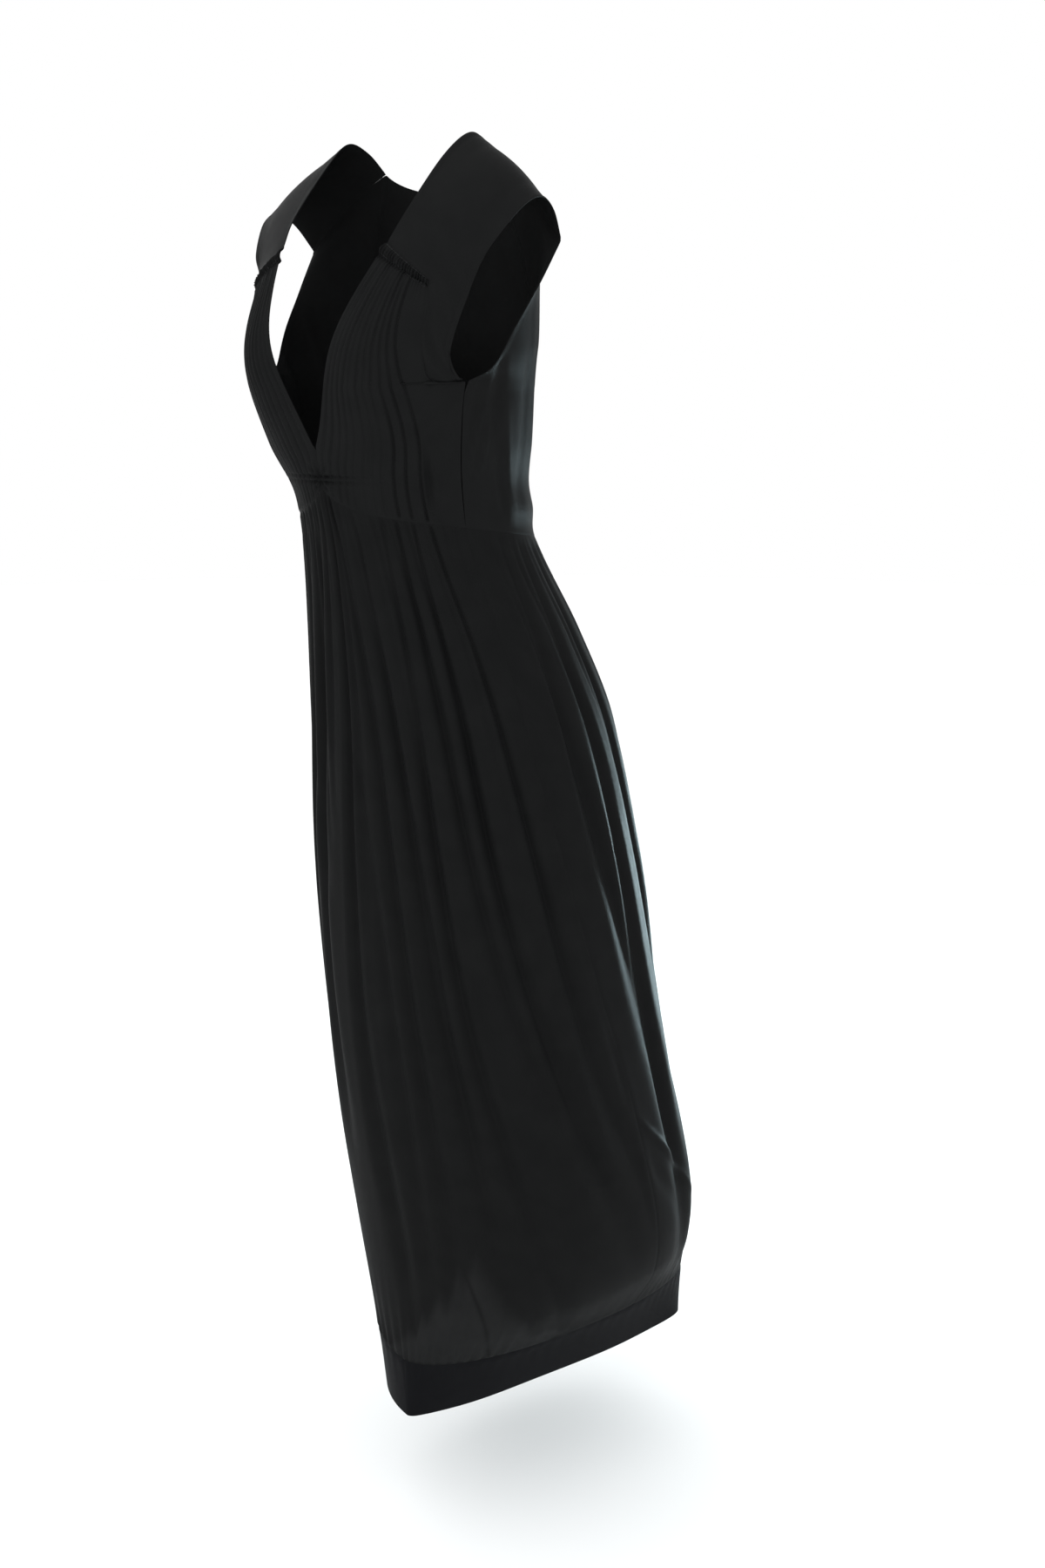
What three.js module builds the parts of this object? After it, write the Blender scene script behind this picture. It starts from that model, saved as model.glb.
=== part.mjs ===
// A sleeveless black maxi dress as it hangs on a wearer, hollow, with its neck, armholes and hem open.
// Millimetres, +Z up. The dress faces -Y and the wearer's left side is +X.
// The origin is the middle of the shoulders, between the two shoulder lines, where the wearer carries it.
import * as THREE from "three";

// Driving sizes
const CLOTH = 1.6; // wall of the single cloth
const BAND_CLOTH = 2.2; // wall of the doubled hem band
const SEAM_GAP = 0.5; // left between two pieces that are sewn together
const HEM = -1335; // lower edge of the hem band
const BAND_HEIGHT = 68;
const BAND_TOP = HEM + BAND_HEIGHT;
const WAIST_PEAK = -290; // the waist seam rises to this point at the centre front
const WAIST_DIP = 30; // how far it falls beside the peak
const WAIST_DIP_ANGLE = 14; // degrees over which it falls
const WAIST_BACK_DROP = 36; // how much lower it runs at the centre back
const V_POINT = -254; // bottom of the V neck
const BUST = { x: 80, z: -165, out: 30, across: 60, up: 80, down: 75 };
const WAIST_SIDE = -332; // lower end of the bodice front at the side seam
const SIDE_SEAM_TOP = -187; // bottom of the armhole, where the side seam starts
const BACK_SIDE_ANGLE = 66; // the side seam at the waist, as the back bodice meets it
const BACK_SIDE_Z = -334;
const BACK_GAP_Z = -200; // height at which the back bodice takes the angle of its seam gap
const CLOTH_COLOUR = 0x14171a;
const BAND_COLOUR = 0x101417;

// Sections of the whole dress: each is a rounded ring about (cx, cy), turned a little at the hem.
// left, right, front and back are its reaches, and power is how square it is (2 is an ellipse).
const SECTIONS = [
  { z: 40, cx: 0, cy: 0, left: 150, right: 150, front: 20, back: 60, turn: 0, power: 2.3 },
  { z: 0, cx: 0, cy: 0, left: 175, right: 175, front: 60, back: 84, turn: 0, power: 2.3 },
  { z: -57, cx: 0, cy: 0, left: 182, right: 182, front: 101, back: 96, turn: 0, power: 2.0 },
  { z: -100, cx: 0, cy: 0, left: 172, right: 172, front: 119, back: 101, turn: 0, power: 2.0 },
  { z: -165, cx: 0, cy: 0, left: 153, right: 153, front: 132, back: 101, turn: 0, power: 2.1 },
  { z: -250, cx: 0, cy: 2, left: 138, right: 138, front: 131, back: 114, turn: 0, power: 2.1 },
  { z: -300, cx: 2, cy: 6, left: 127, right: 122, front: 129, back: 126, turn: 0, power: 1.8 },
  { z: -350, cx: 4, cy: 12, left: 130, right: 122, front: 124, back: 124, turn: 0, power: 1.9 },
  { z: -450, cx: 10, cy: 30, left: 154, right: 138, front: 132, back: 160, turn: 0, power: 2.0 },
  { z: -550, cx: 16, cy: 48, left: 170, right: 154, front: 143, back: 184, turn: 1, power: 2.1 },
  { z: -700, cx: 24, cy: 66, left: 182, right: 168, front: 160, back: 189, turn: 2, power: 2.2 },
  { z: -850, cx: 32, cy: 82, left: 188, right: 174, front: 174, back: 198, turn: 4, power: 2.2 },
  { z: -1000, cx: 44, cy: 100, left: 184, right: 178, front: 186, back: 210, turn: 6, power: 2.2 },
  { z: -1120, cx: 60, cy: 115, left: 165, right: 178, front: 194, back: 223, turn: 9, power: 2.2 },
  { z: -1200, cx: 72, cy: 122, left: 133, right: 172, front: 198, back: 219, turn: 11, power: 2.2 },
  { z: -1270, cx: 85, cy: 125, left: 70, right: 162, front: 200, back: 210, turn: 13, power: 2.2 },
  { z: HEM, cx: 95, cy: 127, left: 28, right: 155, front: 203, back: 203, turn: 13.6, power: 2.2 },
];

// Edge of the V neck on the front: its distance from the centre line.
const NECK_EDGE = [
  { z: -57, x: 73 },
  { z: -92, x: 62 },
  { z: -140, x: 46.5 },
  { z: -172, x: 35 },
  { z: -222, x: 14.5 },
  { z: V_POINT, x: 0 },
];

// Seam between the armhole band and the bodice front, from the yoke seam to the bottom of the armhole.
const BAND_SEAM = [
  { t: 0, angle: 44, z: -92 },
  { t: 0.3, angle: 47.5, z: -120 },
  { t: 0.55, angle: 50, z: -148 },
  { t: 0.75, angle: 53, z: -172 },
  { t: 0.88, angle: 55.5, z: -185 },
  { t: 1, angle: 61.5, z: -189 },
];

// Side seam: its angle round the sections, measured from the centre front.
const SIDE_SEAM = [
  { z: SIDE_SEAM_TOP, angle: 69 },
  { z: -260, angle: 67 },
  { z: -345, angle: 66 },
  { z: -546, angle: 70 },
  { z: -670, angle: 78 },
  { z: -816, angle: 88 },
  { z: -1000, angle: 99 },
  { z: -1200, angle: 110 },
  { z: HEM, angle: 114 },
];
const RIGHT_DRIFT = 0.35; // the right side's seam and folds drift this share of the left side's

// Rows of the bodice front: height on the neck edge or centre line, and place on the outer edge.
const BODICE_ROWS = [
  { t: 0, inner: -57, outer: -92 },
  { t: 0.16, inner: -94, outer: -120 },
  { t: 0.29, inner: -126, outer: -148 },
  { t: 0.39, inner: -150, outer: -172 },
  { t: 0.46, inner: -168, outer: -185 },
  { t: 0.52, inner: -184, outer: -189 },
  { t: 0.56, inner: -194, outer: -188 },
  { t: 0.64, inner: -214, outer: -222 },
  { t: 0.76, inner: -240, outer: -262 },
  { t: 0.88, inner: -264, outer: -300 },
  { t: 1, inner: WAIST_PEAK, outer: WAIST_SIDE },
];
const SIDE_TOP = 0.52; // the row on which the side seam starts, at the bottom of the armhole

// Yoke beyond the bodice: neck edge and armhole edge of each section, and how far it bows out between.
const YOKE_ROWS = [
  { neck: [78, -75, -26], arm: [166, -50, -58], bow: 5 },
  { neck: [80, -25, 27], arm: [181, -24, -25], bow: 8 },
  { neck: [84, 9, 51], arm: [184, 0, -15], bow: 8 },
  { neck: [82, 36, 44], arm: [181, 22, -26], bow: 8 },
  { neck: [76, 56, 24], arm: [174, 42, -52], bow: 8 },
];

// Armhole edge beside the band seam and the yoke seam, as places on the sections.
const ARM_EDGE = [
  { t: 0, angle: 60, z: -98 },
  { t: 0.3, angle: 60, z: -124 },
  { t: 0.55, angle: 60.5, z: -148 },
  { t: 0.75, angle: 61.5, z: -168 },
  { t: 0.88, angle: 63.5, z: -179 },
  { t: 1, angle: 66, z: -184.5 },
];
const ARM_EDGE_TOP = { angle: 60.5, z: -78 }; // beside the neck end of the yoke seam

// Back part of the armhole edge, from the side seam up to the end of the yoke.
const BACK_ARM_EDGE = [
  { t: 0, x: 144, y: -54, z: SIDE_SEAM_TOP },
  { t: 0.25, x: 154, y: -36, z: -172 },
  { t: 0.5, x: 163, y: -14, z: -135 },
  { t: 0.75, x: 170, y: 16, z: -92 },
  { t: 1, x: 174, y: 42, z: -53 },
];
const BACK_ARM_ANGLE = 106; // place on the sections of the yoke's end, at the top of the back's armhole
const BACK_ARM_SHARE = 0.5; // share of the back bodice's height that its armhole edge takes
const BACK_NECK = { x: 76, middleY: 82, middleZ: 2 };
const BACK_NECK_SHARE = 0.5; // share of half the back's upper edge that the neck takes
const BACK_TOP_REACH = 0.35; // share of the back's height over which its upper edge shapes it
const PUFF = { at: 0.86, spread: 0.1, out: 5 }; // the back blouses a little over the waist seam

// Folds of the skirt's front: heights between which each runs, its angle at the top, half way and
// at its lower end, its depth, and its half width at the top and at the lower end.
const FRONT_FOLDS = [
  { top: -302, low: -700, a: -8, b: -22, c: -24, deep: 5, fine: 5, wide: 14 },
  { top: -314, low: -1164, a: 2, b: -5, c: 8, deep: 6, fine: 5, wide: 14 },
  { top: -360, low: -1130, a: 6, b: 12, c: 30, deep: 6, fine: 6, wide: 15 },
  { top: -374, low: -1000, a: 16, b: 20, c: 38, deep: 6, fine: 5, wide: 15 },
  { top: -336, low: -1170, a: 29, b: 32, c: 62, deep: 5, fine: 5, wide: 18 },
  { top: -322, low: -970, a: 36, b: 41, c: 72, deep: 7, fine: 5, wide: 17 },
  { top: -322, low: -1040, a: 43, b: 51, c: 87, deep: 7, fine: 5, wide: 17 },
  { top: -322, low: -1060, a: 50, b: 68, c: 98, deep: 6, fine: 5, wide: 17 },
  { top: -860, low: -1060, a: 92, b: 99, c: 112, deep: 8, fine: 10, wide: 18 },
  { top: -314, low: -980, a: -16, b: -26, c: -20, deep: 5, fine: 5, wide: 15 },
  { top: -322, low: -1120, a: -27, b: -38, c: -38, deep: 6, fine: 5, wide: 17 },
  { top: -326, low: -900, a: -36, b: -47, c: -52, deep: 6, fine: 5, wide: 16 },
  { top: -326, low: -1150, a: -45, b: -58, c: -66, deep: 6, fine: 5, wide: 18 },
  { top: -330, low: -1000, a: -54, b: -68, c: -84, deep: 5, fine: 6, wide: 17 },
];

// Folds of the skirt's back, in the same columns.
const BACK_FOLDS = [
  { top: -345, low: -1010, a: 84, b: 96, c: 118, deep: 6, fine: 6, wide: 17 },
  { top: -348, low: -1160, a: 98, b: 108, c: 126, deep: 7, fine: 6, wide: 17 },
  { top: -350, low: -960, a: 112, b: 122, c: 134, deep: 7, fine: 6, wide: 16 },
  { top: -352, low: -1190, a: 126, b: 137, c: 146, deep: 8, fine: 6, wide: 18 },
  { top: -354, low: -1060, a: 142, b: 152, c: 160, deep: 7, fine: 6, wide: 17 },
  { top: -355, low: -1170, a: 157, b: 166, c: 175, deep: 8, fine: 6, wide: 18 },
  { top: -356, low: -980, a: 172, b: 180, c: 190, deep: 7, fine: 6, wide: 16 },
  { top: -355, low: -1150, a: 187, b: 195, c: 205, deep: 8, fine: 6, wide: 18 },
  { top: -354, low: -1040, a: 203, b: 211, c: 221, deep: 7, fine: 6, wide: 17 },
  { top: -352, low: -1180, a: 218, b: 226, c: 236, deep: 7, fine: 6, wide: 18 },
  { top: -350, low: -940, a: 234, b: 243, c: 250, deep: 6, fine: 6, wide: 16 },
  { top: -346, low: -1100, a: 250, b: 258, c: 262, deep: 6, fine: 6, wide: 17 },
  { top: -342, low: -900, a: 266, b: 270, c: 272, deep: 5, fine: 6, wide: 15 },
];

const FOLD = { early: 0.12, run: 0.85, ridge: 0.55, soft: 0.6 }; // how a fold swells, fades and rounds off
const FOLD_SPREAD_END = -1120; // below this height the folds follow the left side's reach no further

// Tucks of each bodice front, from the neck edge outwards, spread over this share of its width.
const TUCKS = { count: 11, share: 0.74, deep: 1.3 };
const SKIRT_TOP = -340; // height at which the skirt panels meet at the waist
const SKIRT_GATHERS = { waves: 26, deep: 1.1, reach: 45 }; // small pleats in each half of the waist seam
const BAND_GATHERS = { waves: 30, deep: 1.3, reach: 28 }; // small gathers above the hem band
const BACK_GATHERS = { waves: 15, deep: 1.4, reach: 55 }; // gathers above the waist at the back
const CENTRE_GAP = 0.7; // from the centre line to the edge of each bodice front below the neck
const FRONT_EDGE_GAP = 1.6; // seam gaps left between the bodice front and the armhole band or side seam
const UNDER_ARM = { gaps: 1.8, spread: 0.06 }; // seam gaps left under the end of the armhole band
const BACK_TOP_GAPS = 3; // seam gaps left between the back bodice and the yokes

// Steps of the grids
const SKIRT_ROWS = [0, 0.03, 0.08, 0.15, 0.24, 0.34, 0.44, 0.54, 0.64, 0.73, 0.81, 0.88, 0.93, 0.97, 1];
const FRONT_COLUMNS = 84;
const BACK_COLUMNS = 66;
const BODICE_COLUMNS = 28;
const BAND_STEPS = [0, 0.3, 0.55, 0.75, 0.88, 1];
const SIDE_STEPS = [0.56, 0.61, 0.68, 0.76, 0.84, 0.92, 1];
const YOKE_COLUMNS = 7;
const YOKE_STEPS = [0.33, 0.67, 1]; // along the yoke seam, from the band to the neck
const YOKE_LEAN = { front: -60, back: 40, turn: 20 }; // how the yoke bows: to the front, or back beyond y 20
const MIDWAY = 0.125; // how far a halfway section lies outside the chord, as a share of it
const BACK_BODICE_COLUMNS = 32;
const BACK_BODICE_STEPS = 9;
const BAND_COLUMNS = 76;

const radians = THREE.MathUtils.degToRad;
const mix = THREE.MathUtils.lerp;
const clamp = THREE.MathUtils.clamp;

// Smooth curve through one column of a table, at a place along another column.
function curve(rows, by, key, at) {
  const rising = rows[rows.length - 1][by] > rows[0][by] ? 1 : -1;
  let i = 0;
  while (i < rows.length - 2 && rising * (at - rows[i + 1][by]) > 0) i++;
  const slope = (k) => {
    const before = rows[Math.max(k - 1, 0)];
    const after = rows[Math.min(k + 1, rows.length - 1)];
    return (after[key] - before[key]) / (after[by] - before[by]);
  };
  const step = rows[i + 1][by] - rows[i][by];
  const t = (at - rows[i][by]) / step;
  const bend = t * t * (3 - 2 * t);
  const leave = t * (1 - t) * (1 - t) * step * slope(i);
  const arrive = t * t * (1 - t) * step * slope(i + 1);
  return mix(rows[i][key], rows[i + 1][key], bend) + leave - arrive;
}

// Point of the smooth body of the dress, at an angle from the centre front and a height.
function body(angle, z) {
  const row = {};
  for (const key of Object.keys(SECTIONS[0])) row[key] = curve(SECTIONS, "z", key, z);
  const across = Math.sin(radians(angle));
  const ahead = Math.cos(radians(angle));
  const reachX = across > 0 ? row.left : row.right;
  const reachY = ahead > 0 ? row.front : row.back;
  const x = reachX * Math.sign(across) * Math.abs(across) ** (2 / row.power);
  const y = -reachY * Math.sign(ahead) * Math.abs(ahead) ** (2 / row.power);
  const turn = radians(row.turn);
  const px = row.cx + x * Math.cos(turn) + y * Math.sin(turn);
  const py = row.cy - x * Math.sin(turn) + y * Math.cos(turn);
  const spread = ((Math.abs(px) - BUST.x) / BUST.across) ** 2;
  const rise = ((z - BUST.z) / (z > BUST.z ? BUST.up : BUST.down)) ** 2;
  const bust = BUST.out * Math.exp(-spread - rise) * clamp(3 * ahead, 0, 1);
  return new THREE.Vector3(px, py - bust, z);
}

// Direction out of the smooth body.
function outward(angle, z) {
  const round = body(angle + 1, z).sub(body(angle - 1, z));
  const down = body(angle, z - 2).sub(body(angle, z + 2));
  return down.cross(round).normalize();
}

// The same point, moved out by a relief.
function onBody(angle, z, relief = 0) {
  return body(angle, z).addScaledVector(outward(angle, z), relief);
}

// Angle on the front at which the body has this distance from its centre line.
function angleAt(x, z) {
  const reach = body(0, z).x + x;
  let low = 0;
  let high = 80;
  for (let k = 0; k < 30; k++) {
    const middle = (low + high) / 2;
    if (body(middle, z).x < reach) low = middle;
    else high = middle;
  }
  return low;
}

// Height of the waist seam: a point at the centre front, and lowest at the centre back.
function waistSeam(angle) {
  const away = Math.abs(angle > 180 ? angle - 360 : angle);
  const dip = WAIST_DIP * (1 - Math.exp(-away / WAIST_DIP_ANGLE));
  const drop = (WAIST_BACK_DROP * (1 - Math.cos(radians(angle)))) / 2;
  return WAIST_PEAK - dip - drop;
}

// Half the gap at the waist seam, wider beside its steep point.
function waistGap(angle) {
  return (SEAM_GAP / 2) * (1 + 3 * Math.exp(-Math.abs(angle) / WAIST_DIP_ANGLE));
}

const sideSeam = (z) => curve(SIDE_SEAM, "z", "angle", z);
const wave = (share, waves) => Math.cos(2 * Math.PI * waves * share);

function rightSeam(z) {
  const waist = SIDE_SEAM[2].angle;
  return 360 - waist - RIGHT_DRIFT * (sideSeam(z) - waist);
}

// Angle that half a seam gap takes at the side of the body.
function gapAngle(z) {
  const side = body(90, z);
  return THREE.MathUtils.radToDeg(SEAM_GAP / 2 / side.distanceTo(side.clone().setX(0)));
}

// A fold is a trough with a low ridge on each side. It starts fine, and widens and fades as it falls.
function foldRelief(folds, angle, z) {
  const left = curve(SECTIONS, "z", "left", Math.max(z, FOLD_SPREAD_END));
  const ring = (left + curve(SECTIONS, "z", "right", z)) / 2;
  let relief = 0;
  for (const fold of folds) {
    const t = (fold.top - z) / (fold.top - fold.low);
    if (t < -0.05 || t > 1.15) continue;
    const ends = fold.a * (1 - t) * (1 - 2 * t) + fold.c * t * (2 * t - 1);
    const bent = ends + fold.b * 4 * t * (1 - t);
    const width = mix(fold.fine, fold.wide, clamp(t, 0, 1));
    const away = (radians(angle - bent) * ring) / width;
    const strength = Math.sin(Math.PI * clamp(t * FOLD.run + FOLD.early, 0, 1)) ** 0.8;
    const form = (1 - FOLD.ridge * away * away) * Math.exp(-FOLD.soft * away * away);
    relief -= fold.deep * strength * form;
  }
  return relief;
}

// Closed wall from a grid of outer points, with inner points set in by the wall's thickness.
function shell(grid, wall, ringed) {
  const rows = grid.length;
  const columns = grid[0].length;
  const pick = (j, i) => {
    const column = ringed ? (i + columns) % columns : clamp(i, 0, columns - 1);
    return grid[clamp(j, 0, rows - 1)][column];
  };
  const outer = [];
  const inner = [];
  for (let j = 0; j < rows; j++) {
    for (let i = 0; i < columns; i++) {
      const along = pick(j, i + 1).clone().sub(pick(j, i - 1));
      const down = pick(j + 1, i).clone().sub(pick(j - 1, i));
      const normal = down.cross(along).normalize();
      outer.push(pick(j, i));
      inner.push(pick(j, i).clone().addScaledVector(normal, -wall));
    }
  }
  const positions = [...outer, ...inner].flatMap((point) => point.toArray());
  const index = [];
  const face = (a, b, c, d) => index.push(a, b, c, a, c, d);
  const at = (j, i, side) => side * rows * columns + j * columns + (i % columns);
  const spans = ringed ? columns : columns - 1;
  for (let i = 0; i < spans; i++) {
    for (let j = 0; j < rows - 1; j++) {
      face(at(j, i, 0), at(j + 1, i, 0), at(j + 1, i + 1, 0), at(j, i + 1, 0));
      face(at(j, i, 1), at(j, i + 1, 1), at(j + 1, i + 1, 1), at(j + 1, i, 1));
    }
    face(at(0, i, 0), at(0, i + 1, 0), at(0, i + 1, 1), at(0, i, 1));
    face(at(rows - 1, i, 0), at(rows - 1, i, 1), at(rows - 1, i + 1, 1), at(rows - 1, i + 1, 0));
  }
  for (let j = 0; j < rows - 1 && !ringed; j++) {
    face(at(j, 0, 0), at(j, 0, 1), at(j + 1, 0, 1), at(j + 1, 0, 0));
    face(at(j, spans, 0), at(j + 1, spans, 0), at(j + 1, spans, 1), at(j, spans, 1));
  }
  const geometry = new THREE.BufferGeometry();
  geometry.setAttribute("position", new THREE.Float32BufferAttribute(positions, 3));
  geometry.setIndex(index);
  return geometry;
}

// How far the right side of the body lies from a mirror image of its left side, at the same height.
function rightShift(angle, z) {
  const left = body(angle, z);
  return body(-angle, z).sub(left.setX(-left.x));
}

// Mirrored copy for the wearer's right side. Turning the grid's columns round keeps its faces out.
const mirrored = (grid) =>
  grid.map((row) => row.map((point) => new THREE.Vector3(-point.x, point.y, point.z)).reverse());

function cloth(name, geometry, colour) {
  const material = new THREE.MeshStandardMaterial({ color: colour, roughness: 0.62, metalness: 0 });
  geometry.computeVertexNormals();
  const mesh = new THREE.Mesh(geometry, material);
  mesh.name = name;
  return mesh;
}

// Bodice front, tucked from the yoke seam down to the waist seam: hand 1 is the wearer's left, -1 the right.
function bodiceFront(hand) {
  const grid = [];
  for (const t of [...BAND_STEPS.map((step) => step * SIDE_TOP), ...SIDE_STEPS]) {
    const innerZ = curve(BODICE_ROWS, "t", "inner", t);
    const outerT = clamp(t / SIDE_TOP, 0, 1);
    const below = t > SIDE_TOP;
    const outerZ = below ? curve(BODICE_ROWS, "t", "outer", t) : bandSeam(outerT).z;
    const outerAngle = below ? sideSeam(outerZ) : bandSeam(outerT).angle;
    const neckX = innerZ > V_POINT ? curve(NECK_EDGE, "z", "x", innerZ) : 0;
    const innerAngle = angleAt(Math.max(neckX, CENTRE_GAP), innerZ);
    const width = body(outerAngle, outerZ).distanceTo(body(innerAngle, innerZ));
    const row = [];
    for (let i = 0; i <= BODICE_COLUMNS; i++) {
      const s = (i / BODICE_COLUMNS) * (1 - (FRONT_EDGE_GAP * SEAM_GAP) / width);
      const angle = mix(innerAngle, outerAngle, s);
      const straight = mix(innerZ, outerZ, s);
      const under = UNDER_ARM.gaps * Math.exp(-(((t - SIDE_TOP) / UNDER_ARM.spread) ** 2)) * s ** 4;
      const top = -SEAM_GAP * (t === 0 ? 1.5 : under);
      const toSeam = waistSeam(angle) + waistGap(angle) - mix(WAIST_PEAK, WAIST_SIDE, s);
      row.push(onBody(hand * angle, straight + top + toSeam * t ** 4, tuckRelief(s, t)));
    }
    grid.push(hand > 0 ? row : row.reverse());
  }
  return grid;
}

// Fine tucks run from the seam with the yoke to the waist, and lie flat beyond their share of the width.
function tuckRelief(s, t) {
  const place = s / TUCKS.share;
  if (place > 1) return 0;
  const fade = Math.min(1, 6 * (1 - place)) * Math.min(1, 0.35 + 4 * t);
  return 0.5 * TUCKS.deep * fade * (wave(place, TUCKS.count) - 1);
}

function bandSeam(t) {
  return { angle: curve(BAND_SEAM, "t", "angle", t), z: curve(BAND_SEAM, "t", "z", t) };
}

// Yoke of the wearer's left: up along the armhole as a band, then wide over the shoulder to the back.
function yoke() {
  const edges = [];
  for (const t of [...BAND_STEPS].reverse()) {
    const arm = onBody(curve(ARM_EDGE, "t", "angle", t), curve(ARM_EDGE, "t", "z", t));
    edges.push({ neck: onBody(bandSeam(t).angle, bandSeam(t).z), arm, bow: 1 });
  }
  const neckAngle = angleAt(NECK_EDGE[0].x, NECK_EDGE[0].z);
  const topArm = onBody(ARM_EDGE_TOP.angle, ARM_EDGE_TOP.z);
  const bandTop = edges[edges.length - 1];
  for (const share of YOKE_STEPS) {
    const angle = mix(BAND_SEAM[0].angle, neckAngle, share);
    const neck = onBody(angle, mix(BAND_SEAM[0].z, NECK_EDGE[0].z, share));
    edges.push({ neck, arm: bandTop.arm.clone().lerp(topArm, share), bow: 1 + 4 * share });
  }
  const first = edges.length - 1;
  for (const row of YOKE_ROWS) {
    edges.push({ neck: new THREE.Vector3(...row.neck), arm: new THREE.Vector3(...row.arm), bow: row.bow });
  }
  // Halfway sections between the rows over the shoulder, on a smooth curve.
  const full = edges.slice(0, first);
  for (let k = first; k < edges.length - 1; k++) {
    full.push(edges[k]);
    full.push(between(edges, k, k === first));
  }
  full.push(edges[edges.length - 1]);
  const columns = [];
  for (const edge of full) {
    const across = edge.arm.clone().sub(edge.neck);
    const outside = new THREE.Vector3(across.z, 0, -across.x).multiplyScalar(-1);
    outside.y += edge.neck.y < YOKE_LEAN.turn ? YOKE_LEAN.front : YOKE_LEAN.back;
    outside.normalize();
    const column = [];
    for (let k = 0; k <= YOKE_COLUMNS; k++) {
      const s = k / YOKE_COLUMNS;
      const flat = edge.neck.clone().lerp(edge.arm, s);
      column.push(flat.addScaledVector(outside, edge.bow * 4 * s * (1 - s)));
    }
    columns.push(column);
  }
  // Rows of the grid run from the back of the yoke down to the end of the band.
  return columns.reverse();
}

// Section halfway between two others. The neck edge turns a corner at the first one.
function between(edges, k, corner) {
  const pair = {};
  for (const key of ["neck", "arm"]) {
    const a = corner && key === "neck" ? edges[k][key] : edges[k - 1][key];
    const d = edges[Math.min(k + 2, edges.length - 1)][key];
    const middle = edges[k][key].clone().lerp(edges[k + 1][key], 0.5).multiplyScalar(1 + MIDWAY);
    pair[key] = middle.sub(a.clone().lerp(d, 0.5).multiplyScalar(MIDWAY));
  }
  return { ...pair, bow: mix(edges[k].bow, edges[k + 1].bow, 0.5) };
}

// Back bodice: from the back neck, the yoke's end and the armholes down to the waist seam.
function bodiceBack() {
  const grid = [];
  for (let j = 0; j <= BACK_BODICE_STEPS; j++) {
    const t = j / BACK_BODICE_STEPS;
    const row = [];
    for (let i = 0; i <= BACK_BODICE_COLUMNS; i++) {
      const side = (2 * i) / BACK_BODICE_COLUMNS - 1;
      row.push(backPoint(Math.abs(side), t, side > 0));
    }
    grid.push(row);
  }
  return grid;
}

// One point of the back bodice: side 0 is the centre back and 1 the armhole or side seam, t falls from 0.
function backPoint(side, t, onRight) {
  const end = YOKE_ROWS[YOKE_ROWS.length - 1];
  const neckEnd = new THREE.Vector3(...end.neck);
  const armEnd = new THREE.Vector3(...end.arm);
  const upper = new THREE.Vector3();
  if (side < BACK_NECK_SHARE) {
    const share = side / BACK_NECK_SHARE;
    upper.x = BACK_NECK.x * Math.sin((share * Math.PI) / 2);
    upper.y = mix(BACK_NECK.middleY, neckEnd.y, share * share);
    upper.z = mix(BACK_NECK.middleZ, neckEnd.z, 1 - Math.cos((share * Math.PI) / 2));
  } else {
    const share = (side - BACK_NECK_SHARE) / (1 - BACK_NECK_SHARE);
    upper.lerpVectors(neckEnd, armEnd, share);
    const outside = new THREE.Vector3(-(armEnd.z - neckEnd.z), 0, armEnd.x - neckEnd.x);
    outside.y += YOKE_LEAN.back;
    outside.normalize();
    upper.addScaledVector(outside, end.bow * 4 * share * (1 - share));
  }
  upper.y += BACK_TOP_GAPS * SEAM_GAP;
  upper.z -= BACK_TOP_GAPS * SEAM_GAP;
  // Outer edge: the armhole first, then the side seam.
  const outer = new THREE.Vector3();
  let seam = 0;
  if (t < BACK_ARM_SHARE) {
    const share = 1 - t / BACK_ARM_SHARE;
    outer.set(...["x", "y", "z"].map((key) => curve(BACK_ARM_EDGE, "t", key, share)));
  } else {
    seam = (t - BACK_ARM_SHARE) / (1 - BACK_ARM_SHARE);
    const z = mix(SIDE_SEAM_TOP, waistSeam(sideSeam(BACK_SIDE_Z)), seam);
    outer.copy(onBody(sideSeam(z) + 2 * gapAngle(z), z));
  }
  // The smooth body between the upper edge and the waist seam, met by both edges.
  const sideZ = t < BACK_ARM_SHARE ? outer.z : mix(SIDE_SEAM_TOP, waistSeam(BACK_SIDE_ANGLE), seam);
  const centreZ = mix(BACK_NECK.middleZ, waistSeam(180), t);
  const outerAngle = t < BACK_ARM_SHARE ? backRimAngle(t) : sideSeam(sideZ);
  const angle = mix(180, outerAngle + 2 * gapAngle(BACK_GAP_Z), side);
  const bottom = waistSeam(angle) + SEAM_GAP / 2;
  const z = mix(mix(centreZ, sideZ, side), bottom, t ** 4);
  const gathers = (1 - wave(side, BACK_GATHERS.waves / 2)) / 2;
  const bulge = BACK_GATHERS.deep * gathers * Math.exp((bottom - z) / BACK_GATHERS.reach);
  const smooth = onBody(angle, z, bulge * (1 - side ** 6) + puff(t) * (1 - side ** 4));
  const nearTop = topReach(t);
  const nearSide = t < BACK_ARM_SHARE ? side ** 5 : side ** 12;
  const point = smooth.clone();
  const topShift = upper.clone().sub(backTop(side));
  point.addScaledVector(topShift, nearTop);
  const rim = outer.clone().sub(t < BACK_ARM_SHARE ? rimPoint(t) : smooth);
  if (t > 0 && t < BACK_ARM_SHARE) point.addScaledVector(rim, nearSide);
  if (!onRight) return point;
  return point.setX(-point.x).add(rightShift(angle, z));
}

// Where the smooth body alone would put the upper edge of the back bodice.
function backTop(side) {
  const z = mix(BACK_NECK.middleZ, BACK_ARM_EDGE[4].z, side);
  return onBody(mix(180, BACK_ARM_ANGLE + 2 * gapAngle(BACK_GAP_Z), side), z);
}

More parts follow.
